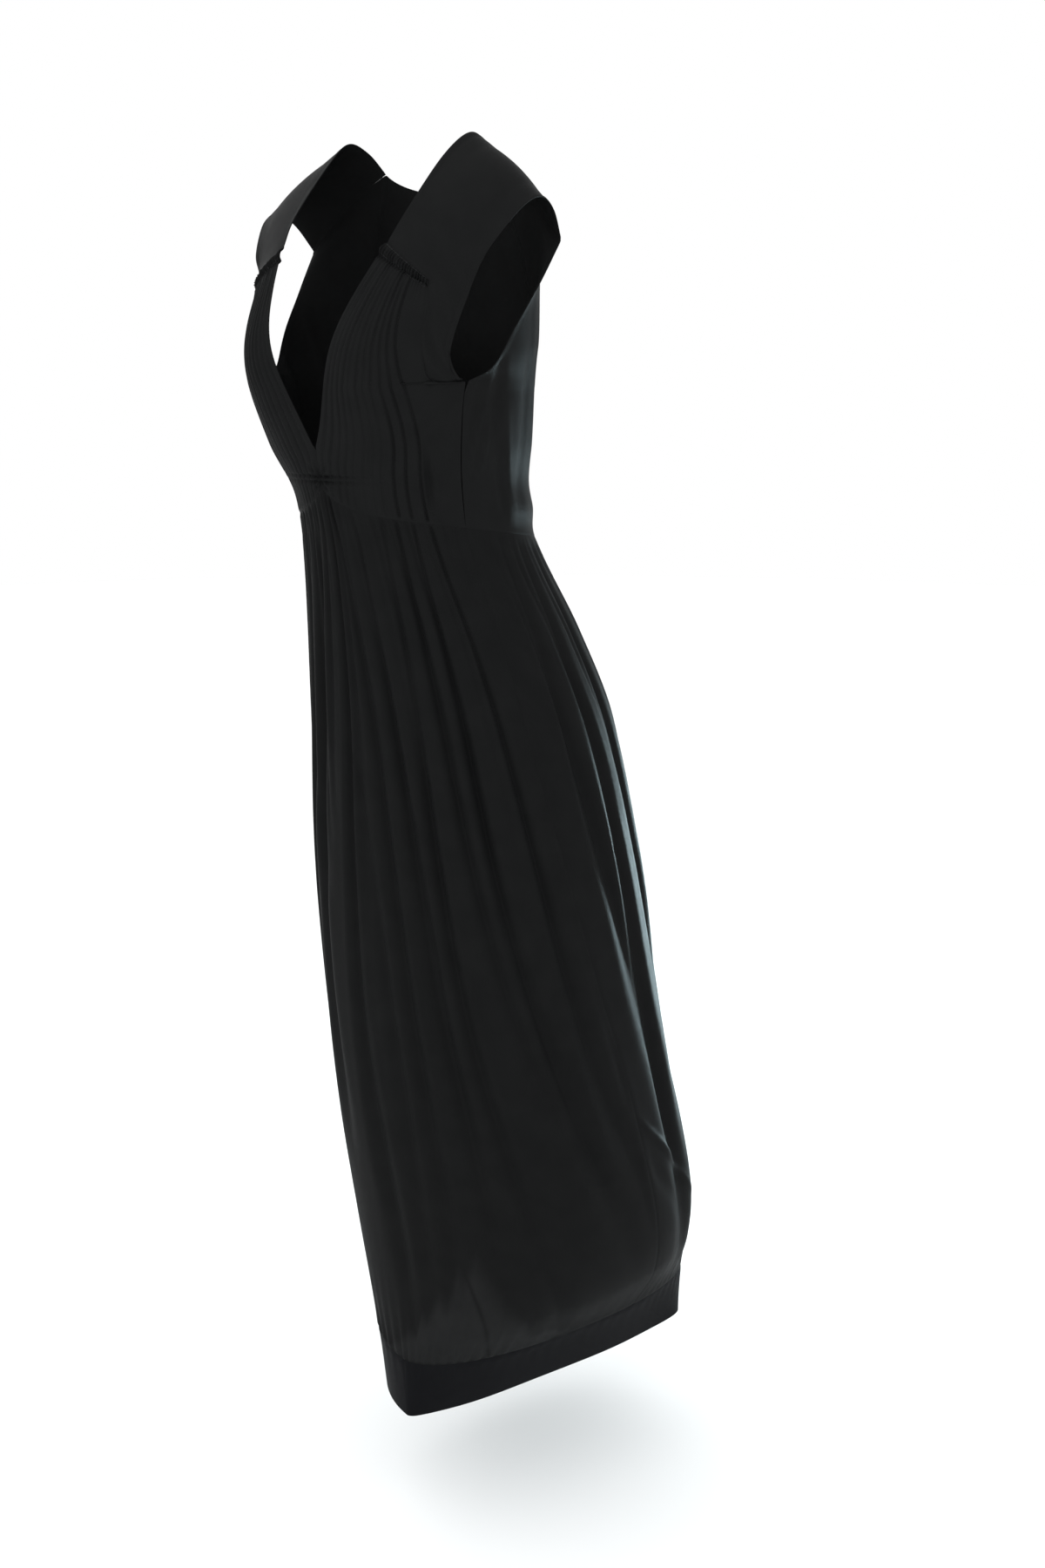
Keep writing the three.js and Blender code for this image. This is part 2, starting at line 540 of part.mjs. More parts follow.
const backRimAngle = (t) => mix(BACK_ARM_ANGLE, sideSeam(SIDE_SEAM_TOP), t / BACK_ARM_SHARE);
const topReach = (t) => Math.max(0, 1 - t / BACK_TOP_REACH) ** 1.5;

// The outermost point of a row of the back bodice before it meets the armhole edge.
function rimPoint(t) {
  const outerZ = curve(BACK_ARM_EDGE, "t", "z", 1 - t / BACK_ARM_SHARE);
  const angle = backRimAngle(t) + 2 * gapAngle(BACK_GAP_Z);
  const bottom = waistSeam(angle) + SEAM_GAP / 2;
  const smooth = onBody(angle, mix(outerZ, bottom, t ** 4));
  const end = YOKE_ROWS[YOKE_ROWS.length - 1];
  const topShift = new THREE.Vector3(...end.arm).sub(backTop(1));
  topShift.y += BACK_TOP_GAPS * SEAM_GAP;
  topShift.z -= BACK_TOP_GAPS * SEAM_GAP;
  return smooth.addScaledVector(topShift, topReach(t));
}

// How far the back blouses out over the waist seam.
const puff = (t) => PUFF.out * Math.exp(-(((t - PUFF.at) / PUFF.spread) ** 2));

// A skirt panel between two seams, from the waist seam to the hem band.
function skirt(columns, from, to, folds) {
  return SKIRT_ROWS.map((t) => {
    const row = [];
    for (let i = 0; i <= columns; i++) {
      const share = i / columns;
      const guess = mix(from(SKIRT_TOP), to(SKIRT_TOP), share);
      const z = mix(waistSeam(guess) - waistGap(guess), BAND_TOP + SEAM_GAP / 2, t);
      const angle = mix(from(z) + gapAngle(z), to(z) - gapAngle(z), share);
      const edge = Math.min(1, 12 * share, 12 * (1 - share));
      const fall = (waistSeam(guess) - z) / SKIRT_GATHERS.reach;
      const rise = (z - BAND_TOP) / BAND_GATHERS.reach;
      const pleats = SKIRT_GATHERS.deep * wave(share, SKIRT_GATHERS.waves) * Math.exp(-fall);
      const gathers = BAND_GATHERS.deep * wave(share, BAND_GATHERS.waves) * Math.exp(-rise);
      row.push(onBody(angle, z, edge * (foldRelief(folds, angle, z) + pleats + gathers)));
    }
    return row;
  });
}

// Hem band: one ring of doubled cloth.
function hemBand() {
  return [BAND_TOP - SEAM_GAP / 2, (BAND_TOP + HEM) / 2, HEM].map((z) => {
    const row = [];
    for (let i = 0; i < BAND_COLUMNS; i++) row.push(onBody((i * 360) / BAND_COLUMNS, z));
    return row;
  });
}

const bodice = new THREE.Group();
const shoulder = yoke();
bodice.add(cloth("yoke_left", shell(shoulder, CLOTH, false), CLOTH_COLOUR));
bodice.add(cloth("yoke_right", shell(mirrored(shoulder), CLOTH, false), CLOTH_COLOUR));
bodice.add(cloth("bodice_front_left", shell(bodiceFront(1), CLOTH, false), CLOTH_COLOUR));
bodice.add(cloth("bodice_front_right", shell(bodiceFront(-1), CLOTH, false), CLOTH_COLOUR));
bodice.add(cloth("bodice_back", shell(bodiceBack(), CLOTH, false), CLOTH_COLOUR));

const lower = new THREE.Group();
const rightFrom = (z) => rightSeam(z) - 360;
const skirtFront = skirt(FRONT_COLUMNS, rightFrom, sideSeam, FRONT_FOLDS);
const skirtBack = skirt(BACK_COLUMNS, sideSeam, rightSeam, BACK_FOLDS);
lower.add(cloth("skirt_front", shell(skirtFront, CLOTH, false), CLOTH_COLOUR));
lower.add(cloth("skirt_back", shell(skirtBack, CLOTH, false), CLOTH_COLOUR));
lower.add(cloth("hem_band", shell(hemBand(), BAND_CLOTH, true), BAND_COLOUR));

const dress = new THREE.Group();
dress.add(bodice, lower);
export default dress;
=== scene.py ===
import math
from types import SimpleNamespace as Sizes

import bpy
import numpy as np
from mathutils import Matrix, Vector


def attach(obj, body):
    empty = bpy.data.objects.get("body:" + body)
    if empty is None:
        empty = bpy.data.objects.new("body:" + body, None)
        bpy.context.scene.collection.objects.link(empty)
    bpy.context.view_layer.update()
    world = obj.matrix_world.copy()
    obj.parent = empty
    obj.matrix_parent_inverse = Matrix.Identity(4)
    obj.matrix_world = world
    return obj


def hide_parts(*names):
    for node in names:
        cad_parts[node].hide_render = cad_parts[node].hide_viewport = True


# The looks of a sleeveless black maxi dress in its worn pose: hollow thin shells of cloth with tucks,
# folds, gathers, seams and stitching. The sizes below are millimetres, with +Z up. The dress faces -Y,
# the wearer's left is +X, and angles go round the body from the centre front to the wearer's left.

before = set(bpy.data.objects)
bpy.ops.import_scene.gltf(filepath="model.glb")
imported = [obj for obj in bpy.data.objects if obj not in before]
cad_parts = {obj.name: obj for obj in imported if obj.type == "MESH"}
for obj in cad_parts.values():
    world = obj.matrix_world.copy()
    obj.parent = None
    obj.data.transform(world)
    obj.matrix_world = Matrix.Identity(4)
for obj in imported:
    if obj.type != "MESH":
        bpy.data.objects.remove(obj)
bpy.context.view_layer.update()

# Driving sizes
MM = 0.001
WALL = 0.9
BAND_WALL = 1.6
HEM = -1335
BAND_TOP = HEM + 68
# The waist seam peaks at the centre front, falls away on both sides and drops towards the back
WAIST_PEAK = -290
WAIST_DIP = 30
WAIST_DIP_ANGLE = 14
WAIST_BACK_DROP = 36
WAIST_SIDE = -332
# Height near the waist at which the skirt's side seams are first looked up
SKIRT_TOP = -340
V_POINT = -254
SIDE_SEAM_TOP = -187
# Share of a bodice front's length at which its outer edge leaves the armhole band
SIDE_TOP = 0.52
# How far the back bodice stays clear of the yoke's end
TOP_GAP = 0.4
# Where the yoke seam meets the neck edge and the armhole band
YOKE_SEAM = Sizes(neck_x=73, neck_z=-57, band_angle=44, band_z=-92)
BUST = Sizes(x=80, z=-165, out=30, across=60, up=80, down=75)
FLOOR_Z = -1460
FLOOR_RADIUS = 9


def table(columns, *rows):
    """A short table: one array for each named column."""
    return dict(zip(columns.split(), np.array(rows, float).T))


# Sections of the whole dress, each a rounded ring about (cx, cy)
SECTIONS = table(
    "z cx cy left right front back turn power",
    (40, 0, 0, 150, 150, 20, 60, 0, 2.3),
    (0, 0, 0, 175, 175, 60, 84, 0, 2.3),
    (-57, 0, 0, 182, 182, 101, 96, 0, 2.0),
    (-100, 0, 0, 172, 172, 119, 101, 0, 2.0),
    (-165, 0, 0, 153, 153, 132, 101, 0, 2.1),
    (-250, 0, 2, 138, 138, 131, 114, 0, 2.1),
    (-300, 2, 6, 127, 122, 129, 126, 0, 1.8),
    (-350, 4, 12, 130, 122, 124, 124, 0, 1.9),
    (-450, 10, 30, 154, 138, 132, 160, 0, 2.0),
    (-550, 16, 48, 170, 154, 143, 184, 1, 2.1),
    (-700, 24, 66, 182, 168, 160, 189, 2, 2.2),
    (-850, 32, 82, 188, 174, 174, 198, 4, 2.2),
    (-1000, 44, 100, 184, 178, 186, 210, 6, 2.2),
    (-1120, 60, 115, 165, 178, 194, 223, 9, 2.2),
    (-1200, 72, 122, 133, 172, 198, 219, 11, 2.2),
    (-1270, 85, 125, 70, 162, 200, 210, 13, 2.2),
    (HEM, 95, 127, 28, 155, 203, 203, 13.6, 2.2),
)

NECK_EDGE = table(
    "z x",
    (YOKE_SEAM.neck_z, YOKE_SEAM.neck_x),
    (-92, 62),
    (-140, 46.5),
    (-172, 35),
    (-222, 14.5),
    (V_POINT, 0),
)

# Seam between a bodice front and the armhole band, and the band's outer edge, from the yoke seam down
BAND_SEAM = table(
    "t angle z",
    (0, YOKE_SEAM.band_angle, YOKE_SEAM.band_z),
    (0.3, 47.5, -120),
    (0.55, 50, -148),
    (0.75, 53, -172),
    (0.88, 55.5, -185),
    (1, 61.5, -189),
)

ARM_EDGE = table(
    "t angle z",
    (0, 60, -98),
    (0.3, 60, -124),
    (0.55, 60.5, -148),
    (0.75, 61.5, -168),
    (0.88, 64, -180),
    (1, 68, -185.5),
)
ARM_EDGE_TOP = (60.5, -78)

# The left side seam. The right one drifts from SEAM_REST by a share of what the left one does
SIDE_SEAM = table(
    "z angle",
    (-187, 69),
    (-260, 67),
    (-345, 66),
    (-546, 70),
    (-670, 78),
    (-816, 88),
    (-1000, 99),
    (-1200, 110),
    (HEM, 114),
)
RIGHT_DRIFT = 0.35
SEAM_REST = 66

# Heights at the inner and the outer edge of a bodice front, down its length
BODICE_ROWS = table(
    "t inner outer",
    (0, YOKE_SEAM.neck_z, YOKE_SEAM.band_z),
    (0.16, -94, -120),
    (0.29, -126, -148),
    (0.39, -150, -172),
    (0.46, -168, -185),
    (0.52, -184, -189),
    (0.56, -194, -188),
    (0.64, -214, -222),
    (0.76, -240, -262),
    (0.88, -264, -300),
    (1, WAIST_PEAK, WAIST_SIDE),
)

# Yoke over the shoulder: neck edge, armhole edge and bow of each section, from the front to the back
YOKE_ROWS = table(
    "nx ny nz ax ay az bow",
    (78, -75, -26, 166, -50, -58, 5),
    (80, -25, 27, 181, -24, -25, 8),
    (84, 9, 51, 184, 0, -15, 8),
    (82, 36, 44, 181, 22, -26, 8),
    (76, 56, 24, 174, 42, -52, 8),
)

# How the yoke leans out, in front of the shoulder line and behind it
YOKE_LEAN = Sizes(front=-60, back=40, y=9, over=27)

BACK_ARM_EDGE = table(
    "t x y z",
    (0, 141, -59, -187),
    (0.25, 154, -36, -172),
    (0.5, 163, -14, -135),
    (0.75, 170, 16, -92),
    (1, 174, 42, -53),
)
# The back neck takes this share of the back bodice's half width, and shapes this share of its length
BACK_NECK = Sizes(x=76, middle_y=82, middle_z=2, share=0.5, reach=0.35)
# Share of the back bodice's length that lies beside the armhole
ARM_SHARE = 0.5
BACK_ARM_ANGLE = 106

# Folds of the skirt: heights between which each runs, its angle at the top, half way and at its lower
# end, its depth, its half width at the top and the lower end, and how crisp its crease is
FOLD_COLUMNS = "top low a b c deep fine wide crisp"
FRONT_FOLDS = table(
    FOLD_COLUMNS,
    (-302, -700, -8, -22, -24, 5, 5, 14, 1.0),
    (-306, -1164, 2, -5, 8, 5.5, 4, 13, 1.6),
    (-312, -1130, 5, 12, 30, 5.5, 4, 14, 1.4),
    (-340, -1000, 16, 20, 38, 5.5, 4, 14, 1.2),
    (-336, -1210, 29, 33, 75, 6, 5, 13, 1.3),
    (-322, -1000, 36, 41, 74, 5.5, 4, 16, 1.6),
    (-322, -1060, 43, 51, 88, 6, 4, 16, 1.8),
    (-322, -1060, 50, 68, 98, 5.5, 4, 16, 1.8),
    (-860, -1060, 92, 99, 112, 8, 10, 18, 0.2),
    (-314, -980, -16, -26, -20, 5, 5, 15, 1.0),
    (-322, -1120, -27, -38, -38, 6, 5, 17, 1.0),
    (-326, -900, -36, -47, -52, 6, 5, 16, 1.1),
    (-326, -1150, -45, -58, -66, 6, 5, 18, 1.2),
    (-330, -1000, -54, -68, -84, 5, 6, 17, 0.8),
)
BACK_FOLDS = table(
    FOLD_COLUMNS,
    (-345, -1010, 84, 96, 118, 6, 6, 17, 0.7),
    (-348, -1160, 98, 108, 126, 7, 6, 17, 0.8),
    (-350, -960, 112, 122, 134, 7, 6, 16, 0.7),
    (-352, -1190, 126, 137, 146, 8, 6, 18, 0.8),
    (-354, -1060, 142, 152, 160, 7, 6, 17, 0.6),
    (-355, -1170, 157, 166, 175, 8, 6, 18, 0.8),
    (-356, -980, 172, 180, 190, 7, 6, 16, 0.7),
    (-355, -1150, 187, 195, 205, 8, 6, 18, 0.8),
    (-354, -1040, 203, 211, 221, 7, 6, 17, 0.6),
    (-352, -1180, 218, 226, 236, 7, 6, 18, 0.8),
    (-350, -940, 234, 243, 250, 6, 6, 16, 0.7),
    (-346, -1100, 250, 258, 262, 6, 6, 17, 0.7),
    (-342, -900, 266, 270, 272, 5, 6, 15, 0.6),
)

# Slighter folds between the main ones, in the same columns
FRONT_SMALL_FOLDS = table(
    FOLD_COLUMNS,
    (-300, -620, -3, -12, -14, 1.8, 2.5, 8, 0.9),
    (-304, -760, 5, 1, 2, 1.8, 2.5, 9, 0.9),
    (-316, -600, 9, 8, 12, 1.6, 2.5, 8, 0.5),
    (-318, -640, 13, 15, 19, 1.4, 3, 9, 0.4),
    (-322, -700, 22, 24, 29, 1.6, 3, 10, 0.4),
    (-322, -560, 26, 27, 30, 1.2, 3, 8, 0.4),
    (-322, -640, 33, 36, 39, 1.4, 2.5, 9, 0.6),
    (-322, -760, 40, 45, 53, 1.8, 2.5, 9, 0.6),
    (-322, -700, 47, 54, 62, 1.6, 2.5, 9, 0.5),
    (-600, -1150, 0, 10, 19, 3.6, 6, 12, 0.6),
    (-640, -1190, 22, 33, 52, 3.0, 7, 12, 0.5),
    (-720, -1160, 56, 74, 97, 2.6, 9, 14, 0.2),
    (-318, -660, -12, -19, -18, 1.6, 2.5, 9, 0.6),
    (-322, -620, -22, -31, -32, 1.6, 2.5, 9, 0.6),
    (-324, -700, -32, -42, -45, 1.6, 2.5, 9, 0.6),
    (-326, -640, -41, -51, -56, 1.6, 2.5, 9, 0.6),
    (-328, -760, -50, -63, -70, 1.6, 2.5, 9, 0.5),
    (-640, -1200, -30, -34, -28, 2.4, 8, 15, 0.0),
    (-700, -1180, -52, -60, -62, 2.4, 8, 15, 0.0),
)
BACK_SMALL_FOLDS = table(
    FOLD_COLUMNS,
    (-346, -700, 77, 88, 96, 1.8, 3, 10, 0.4),
    (-348, -640, 91, 100, 108, 1.8, 3, 10, 0.4),
    (-350, -760, 105, 114, 122, 1.8, 3, 10, 0.4),
    (-352, -620, 119, 128, 136, 1.8, 3, 10, 0.4),
    (-353, -700, 134, 144, 150, 1.8, 3, 10, 0.4),
    (-354, -660, 150, 158, 164, 1.8, 3, 10, 0.4),
    (-355, -740, 165, 172, 178, 1.8, 3, 10, 0.4),
    (-355, -620, 180, 187, 192, 1.8, 3, 10, 0.4),
    (-354, -720, 195, 203, 208, 1.8, 3, 10, 0.4),
    (-353, -650, 210, 218, 224, 1.8, 3, 10, 0.4),
    (-352, -760, 226, 234, 240, 1.8, 3, 10, 0.4),
    (-350, -640, 242, 250, 255, 1.8, 3, 10, 0.4),
    (-346, -700, 258, 263, 267, 1.8, 3, 10, 0.4),
    (-700, -1180, 104, 116, 130, 2.4, 9, 14, 0.2),
    (-760, -1200, 130, 140, 152, 2.4, 9, 14, 0.2),
    (-700, -1180, 160, 168, 182, 2.4, 9, 14, 0.2),
    (-740, -1200, 190, 200, 212, 2.4, 9, 14, 0.2),
    (-700, -1160, 222, 232, 244, 2.4, 9, 14, 0.2),
)

# Tucks of a bodice front, from the neck edge outwards: share of the width, depth in the middle of their
# length and at the waist, and how far they drift outwards on the way down
TUCKS = table(
    "place deep low drift",
    (0.05, 0.7, 0.8, 0.01),
    (0.11, 0.9, 1.0, 0.01),
    (0.17, 0.8, 1.0, 0.02),
    (0.235, 1.1, 0.9, 0.01),
    (0.30, 0.8, 0.5, 0.0),
    (0.365, 1.1, 0.5, 0.01),
    (0.43, 0.8, 0.4, 0.01),
    (0.495, 1.2, 0.6, 0.0),
    (0.56, 1.4, 2.2, 0.015),
    (0.625, 1.5, 2.5, 0.03),
    (0.70, 1.7, 2.8, 0.05),
)
TUCK_WIDTH = 1.3

# Half width of a seam's groove or a row of stitches, and depths at the waist and the side seams
GROOVE_WIDTH = 1.5
WAIST_GROOVE = 0.3
SIDE_GROOVE = 0.05
SKIRT_SIDE_GROOVE = 0.5

# The turned edge round the neck and the armholes, with its line of stitches
TURNED = Sizes(high=0.45, wide=5, fall=1.5, line=6.4, deep=0.35, narrow=0.9)

# How folds run: where they begin and end, in shares of their length, and the width of their crease
FOLD_START = -0.05
FOLD_END = 1.15
FOLD_CREASE = Sizes(deep=1.6, fine=1.5, wide=3.6)
# Below this height the ring on which fold widths are measured stops narrowing on the left
RING_LOW = -1120

# Soft creases of the bodice: where each starts and ends, its sideways bow, its height and half width.
# Their angles are measured on rings of these radii
CREASE_COLUMNS = "z0 a0 z1 a1 bow deep wide"
BODICE_RING = 130
SKIRT_RING = 200
BODICE_CREASES = table(
    CREASE_COLUMNS,
    (-206, 61, -238, 47, 4, -1.8, 5),
    (-240, 66, -306, 54, 3, -2.0, 6),
    (-222, 66, -262, 54, 3, 1.2, 6),
    (-252, 52, -312, 52.5, 0, -4.5, 3.6),
    (-196, 66, -214, 64, 0, -1.0, 4),
    (-160, 52.5, -189, 55.5, 0, -2.4, 3),
)
BACK_CREASES = table(
    CREASE_COLUMNS,
    (-186, 78, -262, 71, 2, 1.9, 2.4),
    (-190, 75, -268, 69, 2, -2.4, 4),
    (-230, 79.5, -284, 74, 2, 1.6, 2.4),
    (-234, 77, -286, 72, 2, -1.6, 3.5),
    (-150, 80, -250, 82, 4, -2.6, 5),
    (-208, 88, -302, 98, -3, 1.0, 5),
    (-214, 84, -334, 90, -2, -1.6, 6),
    (-120, 100, -300, 104, 4, -2.0, 8),
    (-90, 116, -320, 120, -4, 1.6, 9),
    (-60, 134, -330, 136, 4, -1.8, 10),
    (-40, 158, -330, 154, 3, 1.4, 10),
    (-20, 176, -332, 178, -3, -1.6, 11),
)

SKIRT_CREASES = table(
    CREASE_COLUMNS,
    (-985, 98, -1124, 134, 0, 3.6, 5),
    (-1010, 96, -1140, 122, 0, -1.8, 10),
)

# Gathered trims: heights or depths, numbers of waves and how far each reaches
SHIRRING = Sizes(row=12, row_end=4, welt=2.2, swell=0.45, sunk=2.3, gathers=0.9, waves=19, reach=6)
STITCHES = Sizes(rows=(2.5, 13), margin=6, every=3, length=1.4, thick=0.5, lift=0.1)
PINCH = Sizes(z=-283, rays=11, deep=1.3, reach=17, dent=1.2, dent_wide=4)
PINCH_LINES = table("z length deep", (-280.5, 56, 2.6), (-286, 66, 2.2))
SKIRT_PLEATS = Sizes(waves=26, deep=1.3, reach=45)
BAND_GATHERS = Sizes(waves=34, deep=1.4, reach=28)
# Angles between which those gathers are weaker, and by which share
BAND_CALM = Sizes(start=48, rise=24, stop=200, fall=60, share=0.75)
BACK_GATHERS = Sizes(waves=15, deep=1.5, reach=55)
BACK_FINE = Sizes(waves=19, deep=0.8, reach=16)
BACK_PUFF = Sizes(deep=5, place=0.86, wide=0.1)
HEM_RIPPLES = Sizes(waves=61, deep=0.5, reach=14, swells=7, swell=0.5)
# Heights over which relief fades in at the waist seam
BACK_LEAD = 36
SKIRT_LEAD = Sizes(front=6, back=18, angle=76, over=20)
# The paler, unlined fan above the band, where the cloth is sheer and its colour is painted paler, a painted
# glow for the light showing through: how much paler it is painted, and its inner seam
SHEER_PAINTED_GLOW = 0.7
SHEER_SEAM = Sizes(z0=-1130, a0=33, z1=-1262, a1=54)
# How high the fan reaches at each angle, in uneven fingers
SHEER_REACH = table(
    "angle tall",
    (-10, 0),
    (0, 24),
    (10, 48),
    (13, 42),
    (16, 82),
    (19, 74),
    (24, 116),
    (28, 106),
    (31, 150),
    (34, 140),
    (38, 176),
    (44, 140),
    (52, 98),
    (62, 64),
    (68, 30),
    (74, 34),
    (84, 10),
    (92, 0),
)

# Spacing of the threads across and along, and height of the grain, in metres
WEAVE = (0.00042, 0.00047)
GRAIN = 0.00012

# Grid sizes
FRONT_GRID = (190, 240)
BACK_GRID = (190, 210)
BODICE_GRID = (190, 180)
BACK_BODICE_GRID = (120, 160)
YOKE_ACROSS = 40
# Rows of the yoke along the band, the yoke seam and the shoulder, and rounds of evening out
YOKE_ALONG = Sizes(band=46, seam=30, over=92)
YOKE_EASING = 120
BAND_GRID = (16, 420)


def rows_of(columns):
    """The rows of a table, each with its named values."""
    return [Sizes(**dict(zip(columns, row))) for row in zip(*columns.values())]


def curve(rows, by, key, at):
    """Smooth curve through one column of a table, at places along another column."""
    places, values = rows[by], rows[key]
    if places[-1] < places[0]:
        places, values = places[::-1], values[::-1]
    last = len(places) - 1
    before = np.maximum(np.arange(last + 1) - 1, 0)
    after = np.minimum(np.arange(last + 1) + 1, last)
    slope = (values[after] - values[before]) / (places[after] - places[before])
    at = np.asarray(at, float)
    i = np.clip(np.searchsorted(places, at) - 1, 0, last - 1)
    step = places[i + 1] - places[i]
    t = (at - places[i]) / step
    bend = t * t * (3 - 2 * t)
    leave = t * (1 - t) ** 2 * step * slope[i]
    arrive = t * t * (1 - t) * step * slope[i + 1]
    return values[i] + (values[i + 1] - values[i]) * bend + leave - arrive


def mix(a, b, share):
    """From a to b."""
    return a + (b - a) * share


def smooth(t):
    """From 0 to 1 with level ends."""
    t = np.clip(t, 0, 1)
    return t * t * (3 - 2 * t)


def bell(distance, width):
    """1 at no distance, less on both sides."""
    return np.exp(-((distance / width) ** 2))


def stack(x, y, z):
    return np.stack(np.broadcast_arrays(x, y, z), -1).astype(float)


def points_at(rows, by, keys, at):
    return stack(*(curve(rows, by, key, at) for key in keys.split()))


def unit(v):
    return v / np.maximum(np.linalg.norm(v, axis=-1, keepdims=True), 1e-12)


def power_of(value, exponent):
    return np.sign(value) * np.abs(value) ** exponent


def paired(angle, z):
    return np.broadcast_arrays(np.asarray(angle, float), np.asarray(z, float))


def body(angle, z):
    """Points of the smooth body of the dress, at angles from the centre front and heights."""
    angle, z = paired(angle, z)
    row = Sizes(**{key: curve(SECTIONS, "z", key, z) for key in SECTIONS})
    across, ahead = np.sin(np.radians(angle)), np.cos(np.radians(angle))
    x = np.where(across > 0, row.left, row.right) * power_of(across, 2 / row.power)
    y = -np.where(ahead > 0, row.front, row.back) * power_of(ahead, 2 / row.power)
    turn = np.radians(row.turn)
    px = row.cx + x * np.cos(turn) + y * np.sin(turn)
    py = row.cy - x * np.sin(turn) + y * np.cos(turn)
    spread = ((np.abs(px) - BUST.x) / BUST.across) ** 2
    rise = ((z - BUST.z) / np.where(z > BUST.z, BUST.up, BUST.down)) ** 2
    bust = BUST.out * np.exp(-spread - rise) * np.clip(3 * ahead, 0, 1)
    return stack(px, py - bust, z)


def outward(angle, z):
    """Direction out of the smooth body."""
    angle, z = paired(angle, z)
    around = body(angle + 1, z) - body(angle - 1, z)
    down = body(angle, z - 2) - body(angle, z + 2)
    return unit(np.cross(down, around))


def on_body(angle, z, relief=0.0):
    return body(angle, z) + outward(angle, z) * np.asarray(relief, float)[..., None]


def angle_at(x, z):
    """Angles on the front at which the body has these distances from its centre line."""
    reach = body(0, z)[..., 0] + x
    low = np.zeros(np.shape(z))
    high = np.full(np.shape(z), 80.0)
    for _ in range(30):
        middle = (low + high) / 2
        inside = body(middle, z)[..., 0] < reach
        low = np.where(inside, middle, low)
        high = np.where(inside, high, middle)
    return low


def from_front(angle):
    """Angle from the centre front, either way round."""
    return np.abs(np.where(angle > 180, angle - 360, angle))


def waist_seam(angle):
    dip = WAIST_DIP * (1 - np.exp(-from_front(angle) / WAIST_DIP_ANGLE))
    return WAIST_PEAK - dip - WAIST_BACK_DROP * (1 - np.cos(np.radians(angle))) / 2


def side_seam(z):
    return curve(SIDE_SEAM, "z", "angle", z)


def right_seam(z):
    return 360 - SEAM_REST - RIGHT_DRIFT * (side_seam(z) - SEAM_REST)


def wave(share, waves):
    return np.cos(2 * math.pi * waves * share)


def narrow_wave(share, waves):
    """Narrow grooves, one for each wave, from 0 between them to -1 at their bottoms."""
    return -np.exp(2.2 * (wave(share, waves) - 1))


def uneven(place, seed):
    """A slow change between about -1 and 1 that never repeats over a panel."""
    return 0.6 * np.sin(place + 1.7 * seed) + 0.4 * np.sin(2.37 * place + 2.9 * seed + 1)


def fold_relief(folds, angle, z):
    """Troughs with a low ridge on each side. Each starts fine, and widens and fades as it falls."""
    ring = curve(SECTIONS, "z", "left", np.maximum(z, RING_LOW)) / 2 + curve(SECTIONS, "z", "right", z) / 2
    relief = np.zeros(np.shape(z))
    for k, fold in enumerate(rows_of(folds)):
        t = (fold.top - z) / (fold.top - fold.low)
        inside = (t > FOLD_START) & (t < FOLD_END)
        # A parabola through the angles at the top, half way and at the lower end, with a slight waver
        bent = fold.a * (1 - t) * (1 - 2 * t) + fold.b * 4 * t * (1 - t) + fold.c * t * (2 * t - 1)
        bent = bent + 0.5 * uneven(5 * t, k) * np.clip(t, 0, 1)
        run = np.clip(t, 0, 1)
        width = mix(fold.fine, fold.wide, run**1.6)
        away = np.radians(angle - bent) * ring
        soft = away / width
        strength = np.sin(math.pi * np.clip(t * 0.7 + 0.12, 0, 1)) ** 0.8
        strength *= (1 + 0.15 * uneven(7 * t, k + 3))
        strength *= mix(0.3, 1, smooth(t / 0.35)) * smooth((FOLD_END - t) / 0.2)
        trough = strength * (1 - 0.55 * soft**2) * np.exp(-0.6 * soft**2)
        sharp = bell(away, mix(FOLD_CREASE.fine, FOLD_CREASE.wide, run))
        ends = np.clip(1 + 8 * t, 0, 1) * smooth((FOLD_END - t) / 0.3)
        crease = FOLD_CREASE.deep * fold.crisp * (1 - 0.65 * run) * ends * sharp
        relief -= np.where(inside, fold.deep * trough + crease, 0)
    return relief


def crease_relief(creases, angle, z, ring):
    """Soft lines between two places on the body, each a trough or a ridge that fades at its ends."""
    relief = np.zeros(np.shape(z))
    across = np.radians(angle) * ring
    for crease in rows_of(creases):
        x0, x1 = math.radians(crease.a0) * ring, math.radians(crease.a1) * ring
        run = math.hypot(x1 - x0, crease.z1 - crease.z0)
        ux, uz = (x1 - x0) / run, (crease.z1 - crease.z0) / run
        along = ((across - x0) * ux + (z - crease.z0) * uz) / run
        beside = (across - x0) * uz - (z - crease.z0) * ux
        inside = np.clip(along, 0, 1)
        beside = beside + crease.bow * 4 * inside * (1 - inside)
        fade = np.sin(math.pi * np.clip(0.08 + 0.84 * along, 0, 1)) ** 0.8
        relief += crease.deep * fade * bell(beside, crease.wide)
    return relief


def seam_groove(distance, deep=0.8):
    """Both pieces of a seam dip to the same depth where they meet."""
    return -deep * bell(distance, GROOVE_WIDTH)


def turned_edge(distance):
    """A narrow turned hem along a free edge, with the line of its stitches."""
    hem = TURNED.high * (1 - smooth((distance - TURNED.wide) / TURNED.fall))
    return hem - TURNED.deep * bell(distance - TURNED.line, TURNED.narrow)


def grid_normals(grid, ringed):
    """Directions out of a grid. A ringed grid's last column meets its first."""
    if ringed:
        along = np.roll(grid, -1, 1) - np.roll(grid, 1, 1)
    else:
        along = np.gradient(grid, axis=1)
    return unit(np.cross(np.gradient(grid, axis=0), along))


def raised(grid, relief, ringed=False):
    """A grid moved out by its relief."""
    return grid + grid_normals(grid, ringed) * relief[..., None]


def gaps_along(grid, axis):
    """Distances along a grid, from its first row or column."""
    steps = np.linalg.norm(np.diff(grid, axis=axis), axis=-1)
    return np.concatenate([np.zeros_like(np.take(steps, [0], axis)), np.cumsum(steps, axis)], axis)


